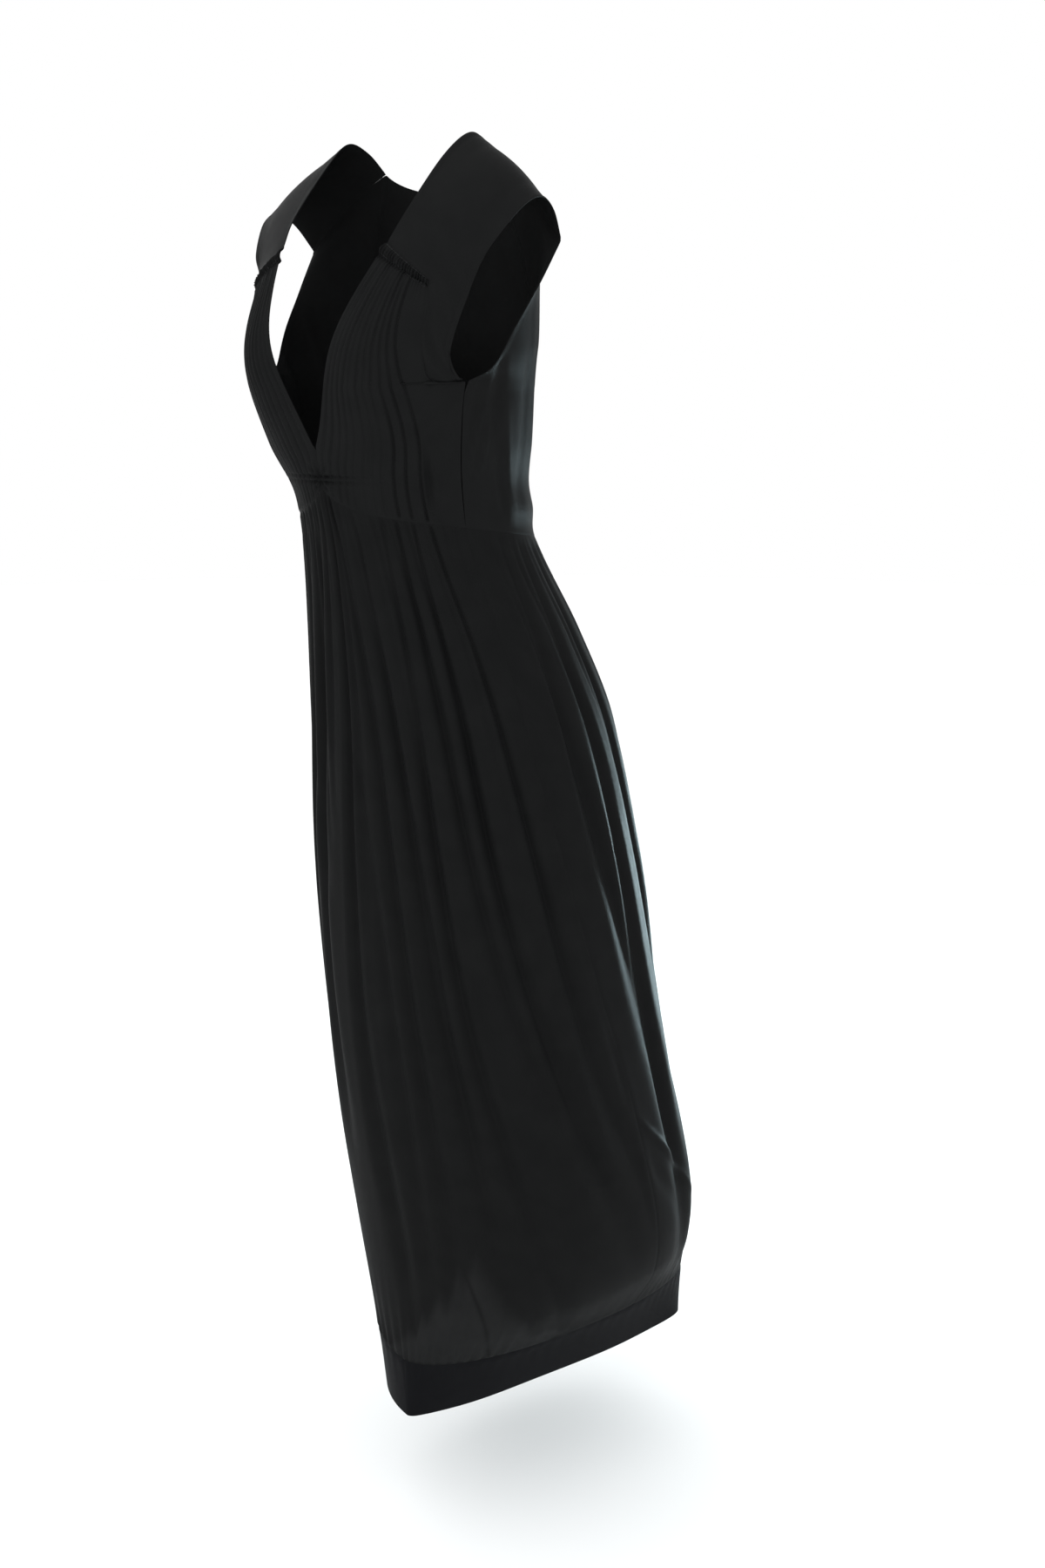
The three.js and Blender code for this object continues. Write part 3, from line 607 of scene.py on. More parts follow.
def placed(name, data):
    """A new object in the scene."""
    thing = bpy.data.objects.new(name, data)
    bpy.context.scene.collection.objects.link(thing)
    return thing


def shell(name, grid, wall, material, ringed=False, sheer=None):
    """A closed thin wall: the grid outside, the same grid set in by the wall, and its edges."""
    rows, columns = grid.shape[:2]
    inner = grid - grid_normals(grid, ringed) * wall
    points = np.concatenate([grid.reshape(-1, 3), inner.reshape(-1, 3)]) * MM
    spans = columns if ringed else columns - 1
    i = np.arange(spans)
    after = (i + 1) % columns

    def at(j, place, side):
        return side * rows * columns + j * columns + place

    faces = []
    for j in range(rows - 1):
        faces.append(np.stack([at(j, i, 0), at(j + 1, i, 0), at(j + 1, after, 0), at(j, after, 0)], 1))
        faces.append(np.stack([at(j, i, 1), at(j, after, 1), at(j + 1, after, 1), at(j + 1, i, 1)], 1))
    end = rows - 1
    faces.append(np.stack([at(0, i, 0), at(0, after, 0), at(0, after, 1), at(0, i, 1)], 1))
    faces.append(np.stack([at(end, i, 0), at(end, i, 1), at(end, after, 1), at(end, after, 0)], 1))
    if not ringed:
        j = np.arange(rows - 1)
        faces.append(np.stack([at(j, 0, 0), at(j, 0, 1), at(j + 1, 0, 1), at(j + 1, 0, 0)], 1))
        i = spans
        faces.append(np.stack([at(j, i, 0), at(j + 1, i, 0), at(j + 1, i, 1), at(j, i, 1)], 1))
    faces = np.concatenate(faces)
    mesh = bpy.data.meshes.new(name)
    mesh.from_pydata(points.tolist(), [], faces.tolist())
    mesh.shade_smooth()
    crisp_rims(mesh, rows, columns, ringed)
    across = gaps_along(grid, 1)
    flat = np.stack([across - across[:, columns // 2, None], gaps_along(grid, 0)], -1).reshape(-1, 2) * MM
    corners = np.tile(flat, (2, 1))[faces.ravel()]
    mesh.uv_layers.new(name="cloth").data.foreach_set("uv", corners.ravel())
    # Mask of the sheer fan, which also carries its painted glow
    if sheer is not None:
        layer = mesh.attributes.new("sheer", "FLOAT", "POINT")
        layer.data.foreach_set("value", np.tile(sheer.ravel(), 2).astype(np.float32))
    mesh.materials.append(material)
    piece = placed(name, mesh)
    piece["one_side"] = float(one_side(grid, ringed))
    return piece


def crisp_rims(mesh, rows, columns, ringed):
    """Marks the edges between the faces of the wall and its rims as sharp."""
    border = np.zeros((rows, columns), bool)
    border[[0, -1]] = True
    if not ringed:
        border[:, [0, -1]] = True
    border = np.tile(border.ravel(), 2)
    ends = np.empty(len(mesh.edges) * 2, int)
    mesh.edges.foreach_get("vertices", ends)
    ends = ends.reshape(-1, 2)
    face = ends // (rows * columns)
    sharp = border[ends].all(1) & (face[:, 0] == face[:, 1])
    layer = mesh.attributes.new("sharp_edge", "BOOLEAN", "EDGE")
    layer.data.foreach_set("value", sharp)


def one_side(grid, ringed):
    """Area of a grid in square metres."""
    if ringed:
        grid = np.concatenate([grid, grid[:, :1]], 1)
    down, across = np.diff(grid, axis=0), np.diff(grid, axis=1)
    halves = np.linalg.norm(np.cross(down[:, :-1], across[:-1]), axis=-1)
    halves += np.linalg.norm(np.cross(down[:, 1:], across[1:]), axis=-1)
    return halves.sum() / 2 * MM * MM


def mirrored(grid):
    """The same grid on the other side, its columns reversed to face out."""
    return (grid * [-1, 1, 1])[:, ::-1]


def right_shift(angle, z):
    """How far the right side of the body lies from a mirror image of its left side."""
    return body(-angle, z) - body(angle, z) * [-1, 1, 1]


def band_seam(t):
    """Angles and heights of the armhole band's seam."""
    return curve(BAND_SEAM, "t", "angle", t), curve(BAND_SEAM, "t", "z", t)


def tuck_relief(s, t, width):
    """Tucks: each a narrow line with a low swell on the side towards the centre front."""
    relief = np.zeros(np.shape(s))
    for k, tuck in enumerate(rows_of(TUCKS)):
        centre = tuck.place + tuck.drift * t
        away = (s - centre) * width
        deep = mix(tuck.deep, tuck.low, smooth((t - 0.45) / 0.35))
        deep *= np.minimum(1, 0.45 + 6 * t) * (1 + 0.2 * uneven(9 * t, k))
        line = bell(away, TUCK_WIDTH)
        swell = bell(away + 2.4 * TUCK_WIDTH, 1.9 * TUCK_WIDTH)
        relief = relief + deep * (0.4 * swell - line)
    return relief


def shirring_relief(s, from_top):
    """Under the yoke seam: a gathered welt, a sunk row of stitches and gathers."""
    second = mix(SHIRRING.row, SHIRRING.row_end, s)
    between = np.clip(from_top / second, 0, 1)
    swell = 1 + SHIRRING.swell * wave(s + 0.01 * np.sin(31 * s), SHIRRING.waves)
    welt = SHIRRING.welt * np.sin(math.pi * between) * swell
    sunk = SHIRRING.sunk * bell(from_top - second, GROOVE_WIDTH)
    fade = np.exp(-np.maximum(from_top - second, 0) / SHIRRING.reach)
    gathers = SHIRRING.gathers * wave(s + 0.01 * np.sin(23 * s), SHIRRING.waves) * fade
    return welt - sunk + gathers * smooth(from_top / second)


def pinch_relief(x, z):
    """Creases drawn together at the centre front, just above the waist seam."""
    up = z - PINCH.z
    away = np.hypot(x, up)
    round_it = np.arctan2(up, x)
    fade = bell(away, PINCH.reach) * smooth(away / 5)
    rays = PINCH.deep * fade * np.cos(PINCH.rays * round_it + 0.8 * np.sin(2 * round_it))
    dent = -PINCH.dent * bell(away, PINCH.dent_wide)
    lines = 0
    for line in rows_of(PINCH_LINES):
        lines += bell(x, line.length) * seam_groove(z - line.z, line.deep)
    return rays + dent + lines


def bodice_front():
    """Left bodice front, and how far the right one is shifted from its mirror image."""
    rows, columns = BODICE_GRID
    t = np.linspace(0, 1, rows)[:, None]
    # Rows lie closer together towards the waist
    t = t + 0.11 * np.sin(math.pi * t)
    s = np.linspace(0, 1, columns)[None, :]
    inner_z = curve(BODICE_ROWS, "t", "inner", t)
    along = np.clip(t / SIDE_TOP, 0, 1)
    seam_angle, seam_z = band_seam(along)
    below = t > SIDE_TOP
    turn = smooth((t - SIDE_TOP) / 0.04)
    outer_z = np.where(below, mix(seam_z, curve(BODICE_ROWS, "t", "outer", t), turn), seam_z)
    side_angle = side_seam(np.minimum(outer_z, SIDE_SEAM_TOP))
    outer_angle = np.where(below, mix(seam_angle, side_angle, turn), seam_angle)
    neck_x = np.where(inner_z > V_POINT, curve(NECK_EDGE, "z", "x", np.maximum(inner_z, V_POINT)), 0)
    inner_angle = angle_at(np.maximum(neck_x, 0.02), inner_z)
    width = np.linalg.norm(body(outer_angle, outer_z) - body(inner_angle, inner_z), axis=-1)
    # Columns head for an even line, and turn to the real outer edge only near it
    middle_z = mix(inner_z, outer_z, 0.65)
    eased = mix(YOKE_SEAM.band_angle, side_seam(WAIST_SIDE), smooth((-80 - middle_z) / 176))
    angle = mix(inner_angle, eased, s) + (outer_angle - eased) * s**8
    z = mix(inner_z, outer_z, s)
    z = z + (waist_seam(angle) - mix(WAIST_PEAK, WAIST_SIDE, s)) * t**4
    base = body(angle, z)
    from_inner = s * width
    from_outer = (1 - s) * width
    from_top = np.abs(mix(YOKE_SEAM.neck_z, YOKE_SEAM.band_z, s) - z)
    from_waist = np.abs(z - waist_seam(angle))
    calm = smooth(from_outer / 5) * smooth(from_waist / 5) * smooth(from_top / 3)
    open_neck = smooth((inner_z - V_POINT) / 6)
    inner_edge = open_neck * turned_edge(from_inner) + (1 - open_neck) * seam_groove(from_inner)
    relief = calm * (tuck_relief(s, t, width) + crease_relief(BODICE_CREASES, angle, z, BODICE_RING))
    relief += smooth(from_waist / 3) * pinch_relief(from_inner, z)
    relief += shirring_relief(s, from_top) + inner_edge
    beside = np.where(below, SIDE_GROOVE, band_groove(along))
    relief += seam_groove(from_outer, beside) + seam_groove(from_waist, WAIST_GROOVE)
    relief += seam_groove(from_top)
    return raised(base, relief), right_shift(angle, z)


def band_groove(along):
    """Depth of the armhole band's seam, which sinks into a hook under the arm."""
    return 0.7 + 1.3 * smooth((along - 0.55) / 0.3)


def eased_along(grid):
    """Evens out a grid along its length, away from its two long edges."""
    s = np.linspace(0, 1, grid.shape[1])[None, :, None]
    for _ in range(YOKE_EASING):
        even = grid.copy()
        even[1:-1] = (grid[:-2] + grid[2:]) / 2
        grid = mix(grid, even, 0.9 * np.minimum(1, 6 * s * (1 - s)))
    return grid


def yoke():
    """Left yoke: from its back end over the shoulder, down beside the bodice front as an armhole band."""
    band_t = np.linspace(1, 0, YOKE_ALONG.band)
    seam_angle, seam_z = band_seam(band_t)
    necks = [body(seam_angle, seam_z)]
    arms = [body(curve(ARM_EDGE, "t", "angle", band_t), curve(ARM_EDGE, "t", "z", band_t))]
    bows = [np.ones(len(band_t))]
    share = np.linspace(0, 1, YOKE_ALONG.seam)[1:]
    neck_angle = angle_at(np.array(YOKE_SEAM.neck_x), np.array(YOKE_SEAM.neck_z))
    seam_angle = mix(YOKE_SEAM.band_angle, neck_angle, share)
    necks.append(body(seam_angle, mix(YOKE_SEAM.band_z, YOKE_SEAM.neck_z, share)))
    top_arm = body(*ARM_EDGE_TOP)
    arms.append(mix(arms[0][-1], top_arm, share[:, None]))
    bows.append(1 + 4 * share)
    start = (*necks[1][-1], *top_arm, bows[1][-1])
    whole = {key: np.append(first, YOKE_ROWS[key]) for key, first in zip(YOKE_ROWS, start)}
    whole["k"] = np.arange(len(whole["bow"]), dtype=float)
    over = np.linspace(0, len(whole["bow"]) - 1, YOKE_ALONG.over)[1:]
    necks.append(points_at(whole, "k", "nx ny nz", over))
    arms.append(points_at(whole, "k", "ax ay az", over))
    bows.append(curve(whole, "k", "bow", over))
    neck, arm, bow = np.concatenate(necks), np.concatenate(arms), np.concatenate(bows)
    across = arm - neck
    behind = smooth((neck[:, 1] - YOKE_LEAN.y) / YOKE_LEAN.over)
    lean = mix(YOKE_LEAN.front, YOKE_LEAN.back, behind)
    outside = unit(stack(-across[:, 2], lean, across[:, 0]))
    s = np.linspace(0, 1, YOKE_ACROSS)[None, :, None]
    base = mix(neck[:, None], arm[:, None], s) + outside[:, None] * (bow[:, None, None] * 4 * s * (1 - s))
    base = eased_along(base)[::-1]
    seamed = len(band_t) + len(share)
    row = np.arange(len(base))[::-1, None]
    from_neck = gaps_along(base, 1)
    from_arm = from_neck[:, -1:] - from_neck
    from_back = gaps_along(base, 0)
    from_low = from_back[-1:] - from_back
    sewn = smooth((seamed - row) / 2)
    hook = band_groove(1 - row / (len(band_t) - 1))
    relief = sewn * seam_groove(from_neck, hook) + (1 - sewn) * turned_edge(from_neck)
    relief += turned_edge(from_arm) + seam_groove(from_back) + seam_groove(from_low, 1.6)
    calm = smooth(from_neck / 12) * smooth(from_arm / 12) * smooth(from_back / 12)
    relief += calm * 0.7 * uneven(from_back / 38 + from_neck / 60, 1)
    return raised(base, relief)


def back_upper(side):
    """Upper edge of the back bodice: the back neck, then the seam with the yoke's end."""
    end = np.array([column[-1] for column in YOKE_ROWS.values()])
    neck_end, arm_end = end[:3], end[3:6]
    neck_share = BACK_NECK.share
    share = np.clip(side / neck_share, 0, 1)
    quarter = share * math.pi / 2
    neck = stack(
        BACK_NECK.x * np.sin(quarter),
        mix(BACK_NECK.middle_y, neck_end[1], share * share),
        mix(BACK_NECK.middle_z, neck_end[2], 1 - np.cos(quarter)),
    )
    share = np.clip((side - neck_share) / (1 - neck_share), 0, 1)[..., None]
    outside = unit(np.array([neck_end[2] - arm_end[2], YOKE_LEAN.back, arm_end[0] - neck_end[0]]))
    seam = mix(neck_end, arm_end, share) + outside * (YOKE_ROWS["bow"][-1] * 4 * share * (1 - share))
    return np.where((side < neck_share)[..., None], neck, seam) + [0, TOP_GAP, -TOP_GAP]


def back_smooth(side):
    """The same edge on the smooth body, before it is moved to its real place."""
    z = mix(BACK_NECK.middle_z, BACK_ARM_EDGE["z"][-1], side)
    return on_body(mix(180, BACK_ARM_ANGLE, side), z)


def bodice_back():
    """Back bodice as a grid from the wearer's left side to the right."""
    rows, columns = BACK_BODICE_GRID
    t, both = np.meshgrid(np.linspace(0, 1, rows), np.linspace(-1, 1, columns), indexing="ij")
    side = np.abs(both)
    in_arm = t < ARM_SHARE
    arm_share = np.clip(1 - t / ARM_SHARE, 0, 1)
    outer = points_at(BACK_ARM_EDGE, "t", "x y z", arm_share)
    seam = np.clip((t - ARM_SHARE) / (1 - ARM_SHARE), 0, 1)
    side_z = np.where(in_arm, outer[..., 2], mix(SIDE_SEAM_TOP, waist_seam(SEAM_REST), seam))
    centre_z = mix(BACK_NECK.middle_z, waist_seam(180), t)
    arm_angle = mix(BACK_ARM_ANGLE, side_seam(SIDE_SEAM_TOP), t / ARM_SHARE)
    outer_angle = np.where(in_arm, arm_angle, side_seam(np.minimum(side_z, SIDE_SEAM_TOP)))

    def smooth_at(place):
        angle = mix(180, outer_angle, place)
        bottom = waist_seam(angle)
        return angle, mix(mix(centre_z, side_z, place), bottom, t**4), bottom

    angle, z, bottom = smooth_at(side)
    from_waist = np.abs(z - bottom)
    calm = smooth(from_waist / BACK_LEAD) * smooth((1 - side) * 30)
    gathers = BACK_GATHERS.deep * (0.5 - 0.5 * wave(side, BACK_GATHERS.waves / 2))
    gathers *= np.exp(-from_waist / BACK_GATHERS.reach) * (1 - side**6)
    puff = BACK_PUFF.deep * bell(t - BACK_PUFF.place, BACK_PUFF.wide) * (1 - side**4)
    creases = crease_relief(BACK_CREASES, angle, z, BODICE_RING)
    fine = BACK_FINE.deep * narrow_wave(side * (1 + 0.1 * side), BACK_FINE.waves)
    fine *= np.exp(-from_waist / BACK_FINE.reach)
    relief = calm * (gathers + puff + creases + fine) + seam_groove(from_waist, WAIST_GROOVE)
    # The upper rows move to the back neck and the yoke's end, and the side ones to the armhole
    near_top = (np.maximum(0, 1 - t / BACK_NECK.reach) ** 1.5)[..., None]
    points = on_body(angle, z, relief) + (back_upper(side) - back_smooth(side)) * near_top
    end = np.ones_like(side)
    rim_angle, rim_z, _ = smooth_at(end)
    rim_shift = (back_upper(end) - back_smooth(end)) * near_top
    rim = outer - (on_body(rim_angle, rim_z) + rim_shift)
    points = points + np.where(in_arm, side**5, 0)[..., None] * rim
    on_right = (both > 0)[..., None]
    points = np.where(on_right, points * [-1, 1, 1] + right_shift(angle, z), points)
    from_top = gaps_along(points, 0)
    width = gaps_along(points, 1)
    from_side = np.minimum(width, width[:, -1:] - width)
    at_neck = smooth((BACK_NECK.share - side) / 0.02)
    edge = at_neck * turned_edge(from_top) + (1 - at_neck) * seam_groove(from_top)
    at_arm = smooth((ARM_SHARE - t) / 0.02)
    edge += at_arm * turned_edge(from_side) + (1 - at_arm) * seam_groove(from_side, SIDE_GROOVE)
    return raised(points, edge)


def sheer_amount(angle, z):
    """How far the cloth belongs to the sheer fan above the hem band, whose colour is painted paler for the
    light showing through, with its dark inner seam where that painted glow is left out.
    """
    up = z - BAND_TOP
    tall = np.interp(angle, SHEER_REACH["angle"], SHEER_REACH["tall"])
    inside = smooth((tall - up) / np.maximum(0.4 * tall, 8)) * smooth(up / 3)
    down = (SHEER_SEAM.z0 - z) / (SHEER_SEAM.z0 - SHEER_SEAM.z1)
    line = mix(SHEER_SEAM.a0, SHEER_SEAM.a1, down)
    return inside * (1 - 0.9 * bell(angle - line, 0.8))


def skirt(size, start, stop, folds, small_folds):
    """A skirt panel between two seams, from the waist seam to the hem band, and where it is sheer and
    painted paler for the light showing through.
    """
    rows, columns = size
    share = np.linspace(0, 1, columns)[None, :]
    t = np.linspace(0, 1, rows)[:, None]
    # Rows lie closer together at both seams
    t = t - 0.10 * np.sin(2 * math.pi * t) / (2 * math.pi)
    guess = mix(start(SKIRT_TOP), stop(SKIRT_TOP), share)
    z = mix(waist_seam(guess), BAND_TOP, t)
    angle = mix(start(z), stop(z), share)
    base = body(angle, z)
    across = gaps_along(base, 1)
    from_side = np.minimum(across, across[:, -1:] - across)
    from_waist = waist_seam(guess) - z
    from_band = z - BAND_TOP
    pleat_size = SKIRT_PLEATS.deep * (1 + 0.5 * uneven(23 * share, 2))
    pleat_size = pleat_size * np.exp(-from_waist / SKIRT_PLEATS.reach)
    pleats = pleat_size * (0.5 + narrow_wave(share + 0.004 * uneven(9 * share, 5), SKIRT_PLEATS.waves))
    gather_size = BAND_GATHERS.deep * (1 + 0.5 * uneven(19 * share, 4))
    gather_size = gather_size * np.exp(-from_band / BAND_GATHERS.reach)
    at_side = smooth((angle - BAND_CALM.start) / BAND_CALM.rise)
    at_side *= smooth((BAND_CALM.stop - angle) / BAND_CALM.fall)
    gather_size = gather_size * (1 - BAND_CALM.share * at_side)
    gathers = gather_size * wave(share + 0.003 * uneven(11 * share, 7), BAND_GATHERS.waves)
    hung = fold_relief(folds, angle, z) + fold_relief(small_folds, angle, z)
    hung += crease_relief(SKIRT_CREASES, angle, z, SKIRT_RING)
    sway = 0.6 * uneven(z / 130 + share * 9, 3)
    at_back = smooth((from_front(angle) - SKIRT_LEAD.angle) / SKIRT_LEAD.over)
    lead = mix(SKIRT_LEAD.front, SKIRT_LEAD.back, at_back)
    calm = smooth(from_side / 16) * smooth(from_waist / lead) * smooth(from_band / 5)
    relief = calm * (hung + pleats + gathers + sway)
    relief += seam_groove(from_side, SKIRT_SIDE_GROOVE) + seam_groove(from_waist, WAIST_GROOVE)
    relief += seam_groove(from_band)
    return raised(base, relief), sheer_amount(angle, z)


def hem_band():
    """The hem band as a ring, from its seam down to the hem."""
    rows, columns = BAND_GRID
    z = np.linspace(BAND_TOP, HEM, rows)[:, None]
    angle = (np.arange(columns) * 360 / columns)[None, :]
    base = body(angle, z)
    from_top = BAND_TOP - z + 0 * angle
    share = angle / 360
    calm = smooth(from_top / 8)
    ripples = HEM_RIPPLES.deep * wave(share + 0.004 * uneven(37 * share, 2), HEM_RIPPLES.waves)
    ripples = ripples * np.exp(-from_top / HEM_RIPPLES.reach)
    swells = HEM_RIPPLES.swell * np.sin(2 * math.pi * HEM_RIPPLES.swells * share + 1)
    return raised(base, calm * (ripples + swells) + seam_groove(from_top), True)


def stitch_row(points, normals, length, thick):
    """Short sunk stitches along a line, each a small eight-sided capsule."""
    verts, faces = [], []
    ring = np.arange(8) * math.pi / 4
    stations = ((-0.5, 0.35), (-0.3, 1.0), (0.3, 1.0), (0.5, 0.35))
    for k in range(len(points) - 1):
        along = unit(points[k + 1] - points[k])
        middle = (points[k] + points[k + 1]) / 2
        out = unit(normals[k])
        beside = np.cross(along, out)
        first = len(verts)
        for place, size in stations:
            for turn in ring:
                offset = (beside * math.cos(turn) + out * math.sin(turn)) * thick / 2 * size
                verts.append((middle + along * length * place + offset) * MM)
        for j in range(3):
            for i in range(8):
                a, b = first + j * 8 + i, first + j * 8 + (i + 1) % 8
                faces.append((a, a + 8, b + 8, b))
        faces.append(tuple(first + i for i in range(8)))
        faces.append(tuple(first + 24 + i for i in reversed(range(8))))
    return verts, faces


def mesh_piece(name, verts, faces, material):
    mesh = bpy.data.meshes.new(name)
    mesh.from_pydata([tuple(v) for v in verts], [], faces)
    mesh.shade_smooth()
    mesh.materials.append(material)
    return placed(name, mesh)


# Materials
def blank(name):
    """A new material, its node tree and its shader."""
    material = bpy.data.materials.new(name)
    material.use_nodes = True
    tree = material.node_tree
    return material, tree, tree.nodes["Principled BSDF"]


def node(tree, kind, place, **inputs):
    made = tree.nodes.new(kind)
    made.location = place
    for name, value in inputs.items():
        made.inputs[name.replace("_", " ")].default_value = value
    return made


def math_node(tree, kind, place, first, second):
    made = tree.nodes.new("ShaderNodeMath")
    made.operation = kind
    made.location = place
    for k, value in enumerate((first, second)):
        if isinstance(value, (int, float)):
            made.inputs[k].default_value = value
        else:
            tree.links.new(value, made.inputs[k])
    return made.outputs[0]


def base_colour(tree, shader, place, tone, dark, light, span=(0, 1)):
    """The shader's colour, which runs from dark to light as the tone crosses a span."""
    ramp = node(tree, "ShaderNodeValToRGB", place)
    for element, at, colour in zip(ramp.color_ramp.elements, span, (dark, light)):
        element.position = at
        element.color = (*colour, 1)
    tree.links.new(tone, ramp.inputs[0])
    tree.links.new(ramp.outputs[0], shader.inputs["Base Color"])
    return ramp.outputs[0]


def bump_node(tree, shader, place, height, strength, distance):
    bump = node(tree, "ShaderNodeBump", place, Strength=strength, Distance=distance)
    tree.links.new(height, bump.inputs["Height"])
    tree.links.new(bump.outputs[0], shader.inputs["Normal"])


def crepe(name, dark, light, see_through=0):
    """Near-black crepe: a fine woven grain, a slight unevenness of tone and a faint cool sheen; where it is
    sheer, a little see-through and a colour painted paler for the light showing through.
    """
    material, tree, shader = blank(name)
    link = tree.links.new
    shader.inputs["IOR"].default_value = 1.45
    shader.inputs["Specular IOR Level"].default_value = 0.009
    shader.inputs["Sheen Weight"].default_value = 0.002
    shader.inputs["Sheen Roughness"].default_value = 0.4
    shader.inputs["Sheen Tint"].default_value = (0.62, 0.86, 0.95, 1)
    cloth = node(tree, "ShaderNodeUVMap", (-1400, 0))
    cloth.uv_map = "cloth"
    coords = cloth.outputs["UV"]
    split = node(tree, "ShaderNodeSeparateXYZ", (-1200, -300))
    link(coords, split.inputs[0])
    threads = []
    for k, pitch in enumerate(WEAVE):
        turned = math_node(tree, "MULTIPLY", (-1000, -300 - 160 * k), split.outputs[k], 2 * math.pi / pitch)
        threads.append(math_node(tree, "SINE", (-830, -300 - 160 * k), turned, 0))
    weave = math_node(tree, "MULTIPLY", (-660, -360), *threads)
    pebble = node(tree, "ShaderNodeTexNoise", (-1000, 60), Scale=1300, Detail=3, Roughness=0.6)
    slow = node(tree, "ShaderNodeTexNoise", (-1000, 320), Scale=28, Detail=2, Roughness=0.5)
    for texture in (pebble, slow):
        link(coords, texture.inputs["Vector"])
    grain = math_node(tree, "MULTIPLY", (-500, -260), weave, 0.35)
    grain = math_node(tree, "ADD", (-340, -200), grain, pebble.outputs["Fac"])
    bump_node(tree, shader, (-180, -220), grain, 0.5, GRAIN)
    broad = math_node(tree, "MULTIPLY", (-660, 200), slow.outputs["Fac"], 0.25)
    small = math_node(tree, "MULTIPLY", (-660, 60), pebble.outputs["Fac"], 0.75)
    shade = math_node(tree, "ADD", (-500, 200), broad, small)
    tone = base_colour(tree, shader, (-340, 240), shade, dark, light, (0.35, 0.68))
    rough = math_node(tree, "MULTIPLY", (-340, 40), slow.outputs["Fac"], 0.12)
    link(math_node(tree, "ADD", (-180, 40), rough, 0.38), shader.inputs["Roughness"])
    if see_through:
        # The sheer fan: its base colour is painted paler, a painted glow for the light showing through, and
        # a little of it is see-through
        sheer_and_glow_mask = node(tree, "ShaderNodeAttribute", (-340, 460))
        sheer_and_glow_mask.attribute_name = "sheer"
        painted_glow = math_node(tree, "MULTIPLY", (-180, 460), sheer_and_glow_mask.outputs["Fac"], SHEER_PAINTED_GLOW)
        painted_paler = node(tree, "ShaderNodeVectorMath", (-60, 300))
        painted_paler.operation = "SCALE"
        link(tone, painted_paler.inputs[0])
        link(math_node(tree, "ADD", (-60, 460), painted_glow, 1), painted_paler.inputs["Scale"])
        link(painted_paler.outputs[0], shader.inputs["Base Color"])
        clear = node(tree, "ShaderNodeBsdfTransparent", (100, -260))
        amount = math_node(tree, "MULTIPLY", (60, -420), sheer_and_glow_mask.outputs["Fac"], see_through)
        blend = node(tree, "ShaderNodeMixShader", (320, 0))
        for k, source in enumerate((amount, shader.outputs[0], clear.outputs[0])):
            link(source, blend.inputs[k])
        link(blend.outputs[0], tree.nodes["Material Output"].inputs["Surface"])
    return material


def thread(name):
    """Black sewing thread with a fine twist."""
    material, tree, shader = blank(name)
    shader.inputs["Specular IOR Level"].default_value = 0.3
    shader.inputs["Roughness"].default_value = 0.45
    place = node(tree, "ShaderNodeTexCoord", (-900, 0))
    twist = node(tree, "ShaderNodeTexWave", (-700, 0), Scale=900, Distortion=1.5)
    tree.links.new(place.outputs["Object"], twist.inputs["Vector"])
    strands = twist.outputs["Fac"]
    base_colour(tree, shader, (-480, 80), strands, (0.004, 0.0045, 0.005), (0.013, 0.014, 0.015))
    bump_node(tree, shader, (-260, -160), strands, 0.6, 0.0001)
    return material


def plain_floor():
    """A pale, matt floor."""
    material, tree, shader = blank("pale_floor")
    shader.inputs["Specular IOR Level"].default_value = 0.1
    shader.inputs["Roughness"].default_value = 0.9
    place = node(tree, "ShaderNodeTexCoord", (-800, 0))
    cloud = node(tree, "ShaderNodeTexNoise", (-600, 0), Scale=1.5, Detail=2)
    tree.links.new(place.outputs["Object"], cloud.inputs["Vector"])
    base_colour(tree, shader, (-380, 0), cloud.outputs["Fac"], [0.90] * 3, [0.93] * 3)
    return material


# Camera and lights
def lamp(name, kind, place, target, power):
    """A light at a place, aimed at a target."""
    light = bpy.data.lights.new(name, kind)
    light.energy = power
    thing = placed(name, light)
    thing.location = place
    thing.rotation_euler = (Vector(target) - Vector(place)).to_track_quat("-Z", "Y").to_euler()
    return light


def area_light(name, place, target, size, power, colour=(1, 1, 1)):
    light = lamp(name, "AREA", place, target, power)
    light.shape = "RECTANGLE"
    light.size, light.size_y = size
    light.color = colour


def camera_and_lights():
    """The camera as worked out from the photo, soft lights, a low cool one behind, and a white world."""
    camera = bpy.data.cameras.new("camera")
    camera.lens = 42
    camera.sensor_width = 36
    camera.sensor_fit = "AUTO"
    thing = placed("camera", camera)
    thing.location = (1.344, -1.411, -0.160)
    thing.rotation_euler = (math.radians(76.74), 0, math.radians(40))
    bpy.context.scene.camera = thing
    middle = (0.05, 0.06, -0.7)
    area_light("key", (-0.8, -3.6, 1.0), middle, (1.8, 2.6), 22)
    area_light("fill", (3.6, -0.6, 0.2), middle, (1.6, 2.6), 8)
    area_light("rear", (-0.05, 2.4, -1.15), (0.21, 0.12, -0.85), (0.4, 0.5), 55, (0.7, 0.93, 1.0))
    area_light("rear_right", (-3.0, 1.6, 0.6), middle, (1.6, 2.4), 6)
    # A wide, weak light from above keeps the floor pale to its edge
    overhead = lamp("overhead", "SUN", (-0.6, -0.8, 3), (0, 0, -1), 0.7)
    overhead.angle = math.radians(100)
    world = bpy.data.worlds.new("studio")
    bpy.context.scene.world = world
    world.use_nodes = True
    background = world.node_tree.nodes["Background"]
    background.inputs["Color"].default_value = (1, 1, 1, 1)
    background.inputs["Strength"].default_value = 1.0
    bpy.context.scene.view_settings.view_transform = "Standard"


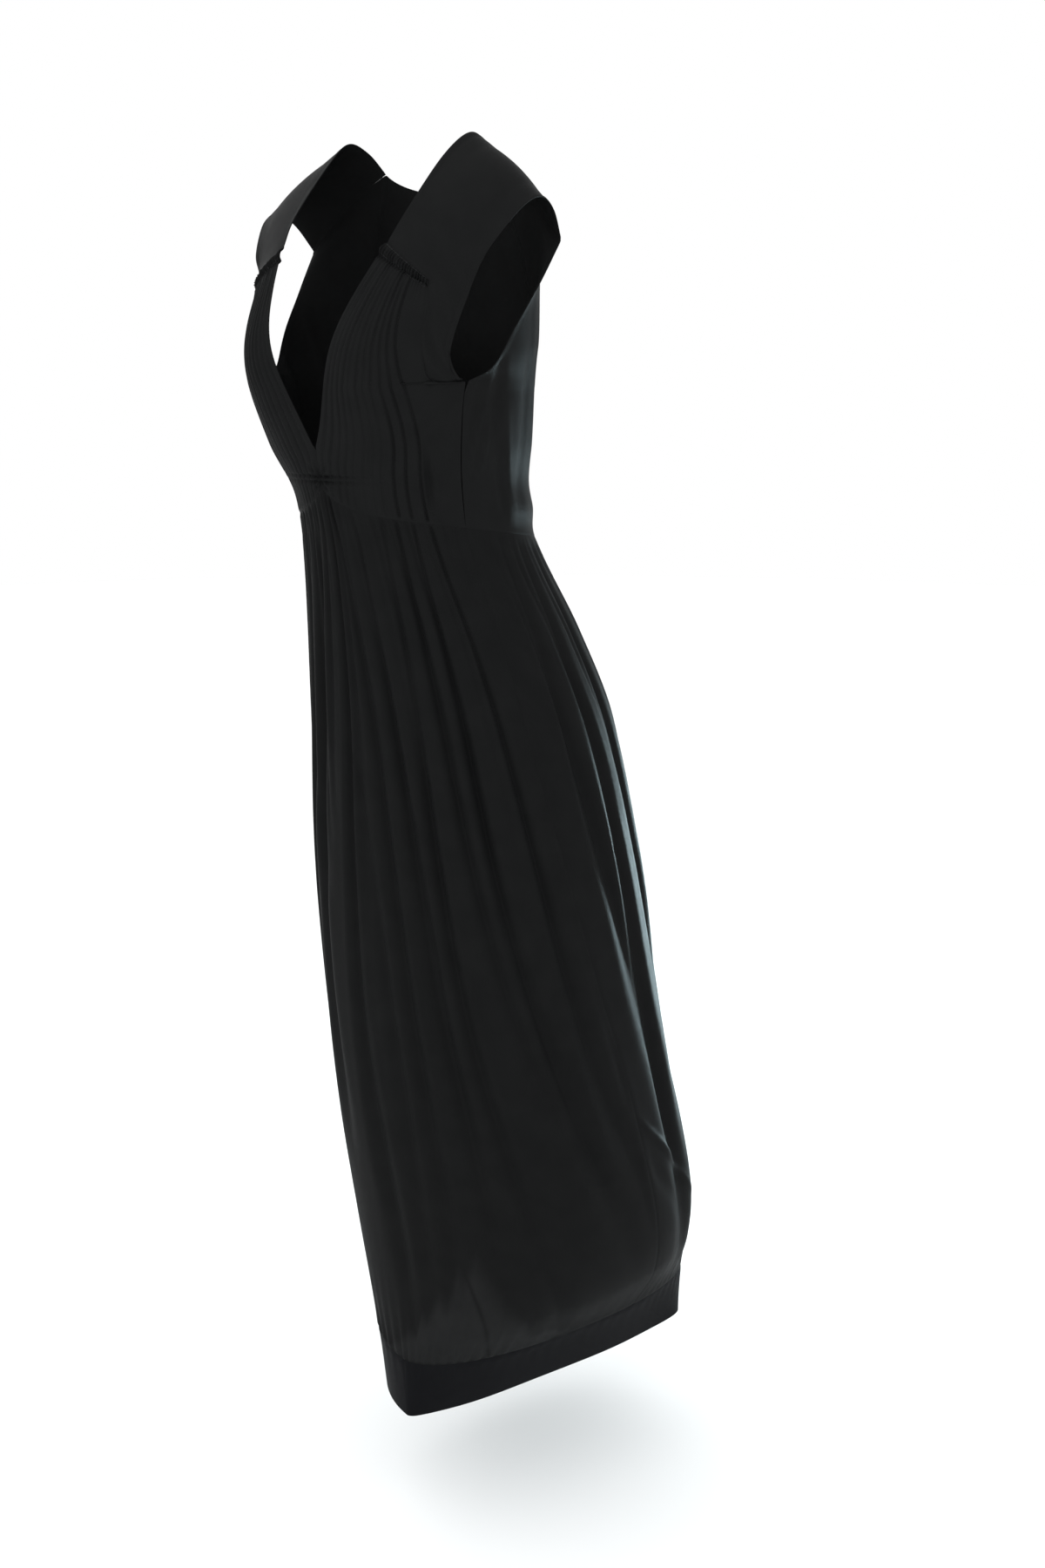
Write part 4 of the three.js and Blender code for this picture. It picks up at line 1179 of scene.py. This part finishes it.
def floor():
    sides = 96
    turns = [k * 2 * math.pi / sides for k in range(sides)]
    ring = [(FLOOR_RADIUS * math.cos(turn), FLOOR_RADIUS * math.sin(turn), 0) for turn in turns]
    made = mesh_piece("floor", ring, [tuple(range(sides))], plain_floor())
    made.location.z = FLOOR_Z * MM


# Every piece with its place in the frame
def sheet(name, grid, flat, held, material, wall=WALL, slot="crepe", **options):
    """A sheet of cloth in place of its solid. Its flat width and length in metres are not used."""
    piece = shell(name + "_cloth", grid, wall, material, **options)
    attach(piece, "root")
    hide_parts(name)


def shirring(front, side, material):
    """Two rows of stitches just under the yoke seam."""
    normals = grid_normals(front, False)
    down = gaps_along(front, 0)
    columns = np.arange(STITCHES.margin, front.shape[1] - STITCHES.margin, STITCHES.every)
    flip = [1, 1, 1] if side == "left" else [-1, 1, 1]
    verts, faces = [], []
    for depth in STITCHES.rows:
        rows = [int(np.argmin(np.abs(down[:, c] - depth))) for c in columns]
        out = normals[rows, columns]
        line = front[rows, columns] + out * STITCHES.lift
        more_verts, more_faces = stitch_row(line * flip, out * flip, STITCHES.length, STITCHES.thick)
        faces += [tuple(i + len(verts) for i in face) for face in more_faces]
        verts += more_verts
    piece = mesh_piece("shirring_" + side, verts, faces, material)
    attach(piece, "root")


def build():
    # One crepe in three tones, as painted light and shade: the skirt's copy is painted darker than the
    # bodice's, and the hem band's darker still and cooler, for how the light falls on each part
    cloth = crepe("crepe", (0.0080, 0.0083, 0.0085), (0.0125, 0.0129, 0.0131))
    skirt_shaded_crepe = crepe("skirt_crepe", (0.0070, 0.0073, 0.0075), (0.0114, 0.0117, 0.0119), 0.02)
    hem_shaded_crepe = crepe("hem_crepe", (0.0058, 0.0060, 0.0068), (0.0097, 0.0100, 0.0112))
    sewing = thread("thread")
    front, shift = bodice_front()
    over = yoke()
    fronts = {"left": front, "right": mirrored(front) + shift[:, ::-1]}
    yokes = {"left": over, "right": mirrored(over)}
    for side in fronts:
        sheet("bodice_front_" + side, fronts[side], (0.18, 0.29), "gathered", cloth)
        sheet("yoke_" + side, yokes[side], (0.13, 0.39), "stretched", cloth)
        shirring(front, side, sewing)
    sheet("bodice_back", bodice_back(), (0.53, 0.39), "hung", cloth)
    front_seams = (lambda z: right_seam(z) - 360, side_seam)
    grid, sheer = skirt(FRONT_GRID, *front_seams, FRONT_FOLDS, FRONT_SMALL_FOLDS)
    sheet("skirt_front", grid, (0.63, 1.00), "hung", skirt_shaded_crepe, sheer=sheer)
    grid, sheer = skirt(BACK_GRID, side_seam, right_seam, BACK_FOLDS, BACK_SMALL_FOLDS)
    sheet("skirt_back", grid, (0.74, 1.00), "hung", skirt_shaded_crepe, sheer=sheer)
    sheet("hem_band", hem_band(), (1.06, 0.078), "hung", hem_shaded_crepe, BAND_WALL, "hem_crepe", ringed=True)


camera_and_lights()
floor()
build()
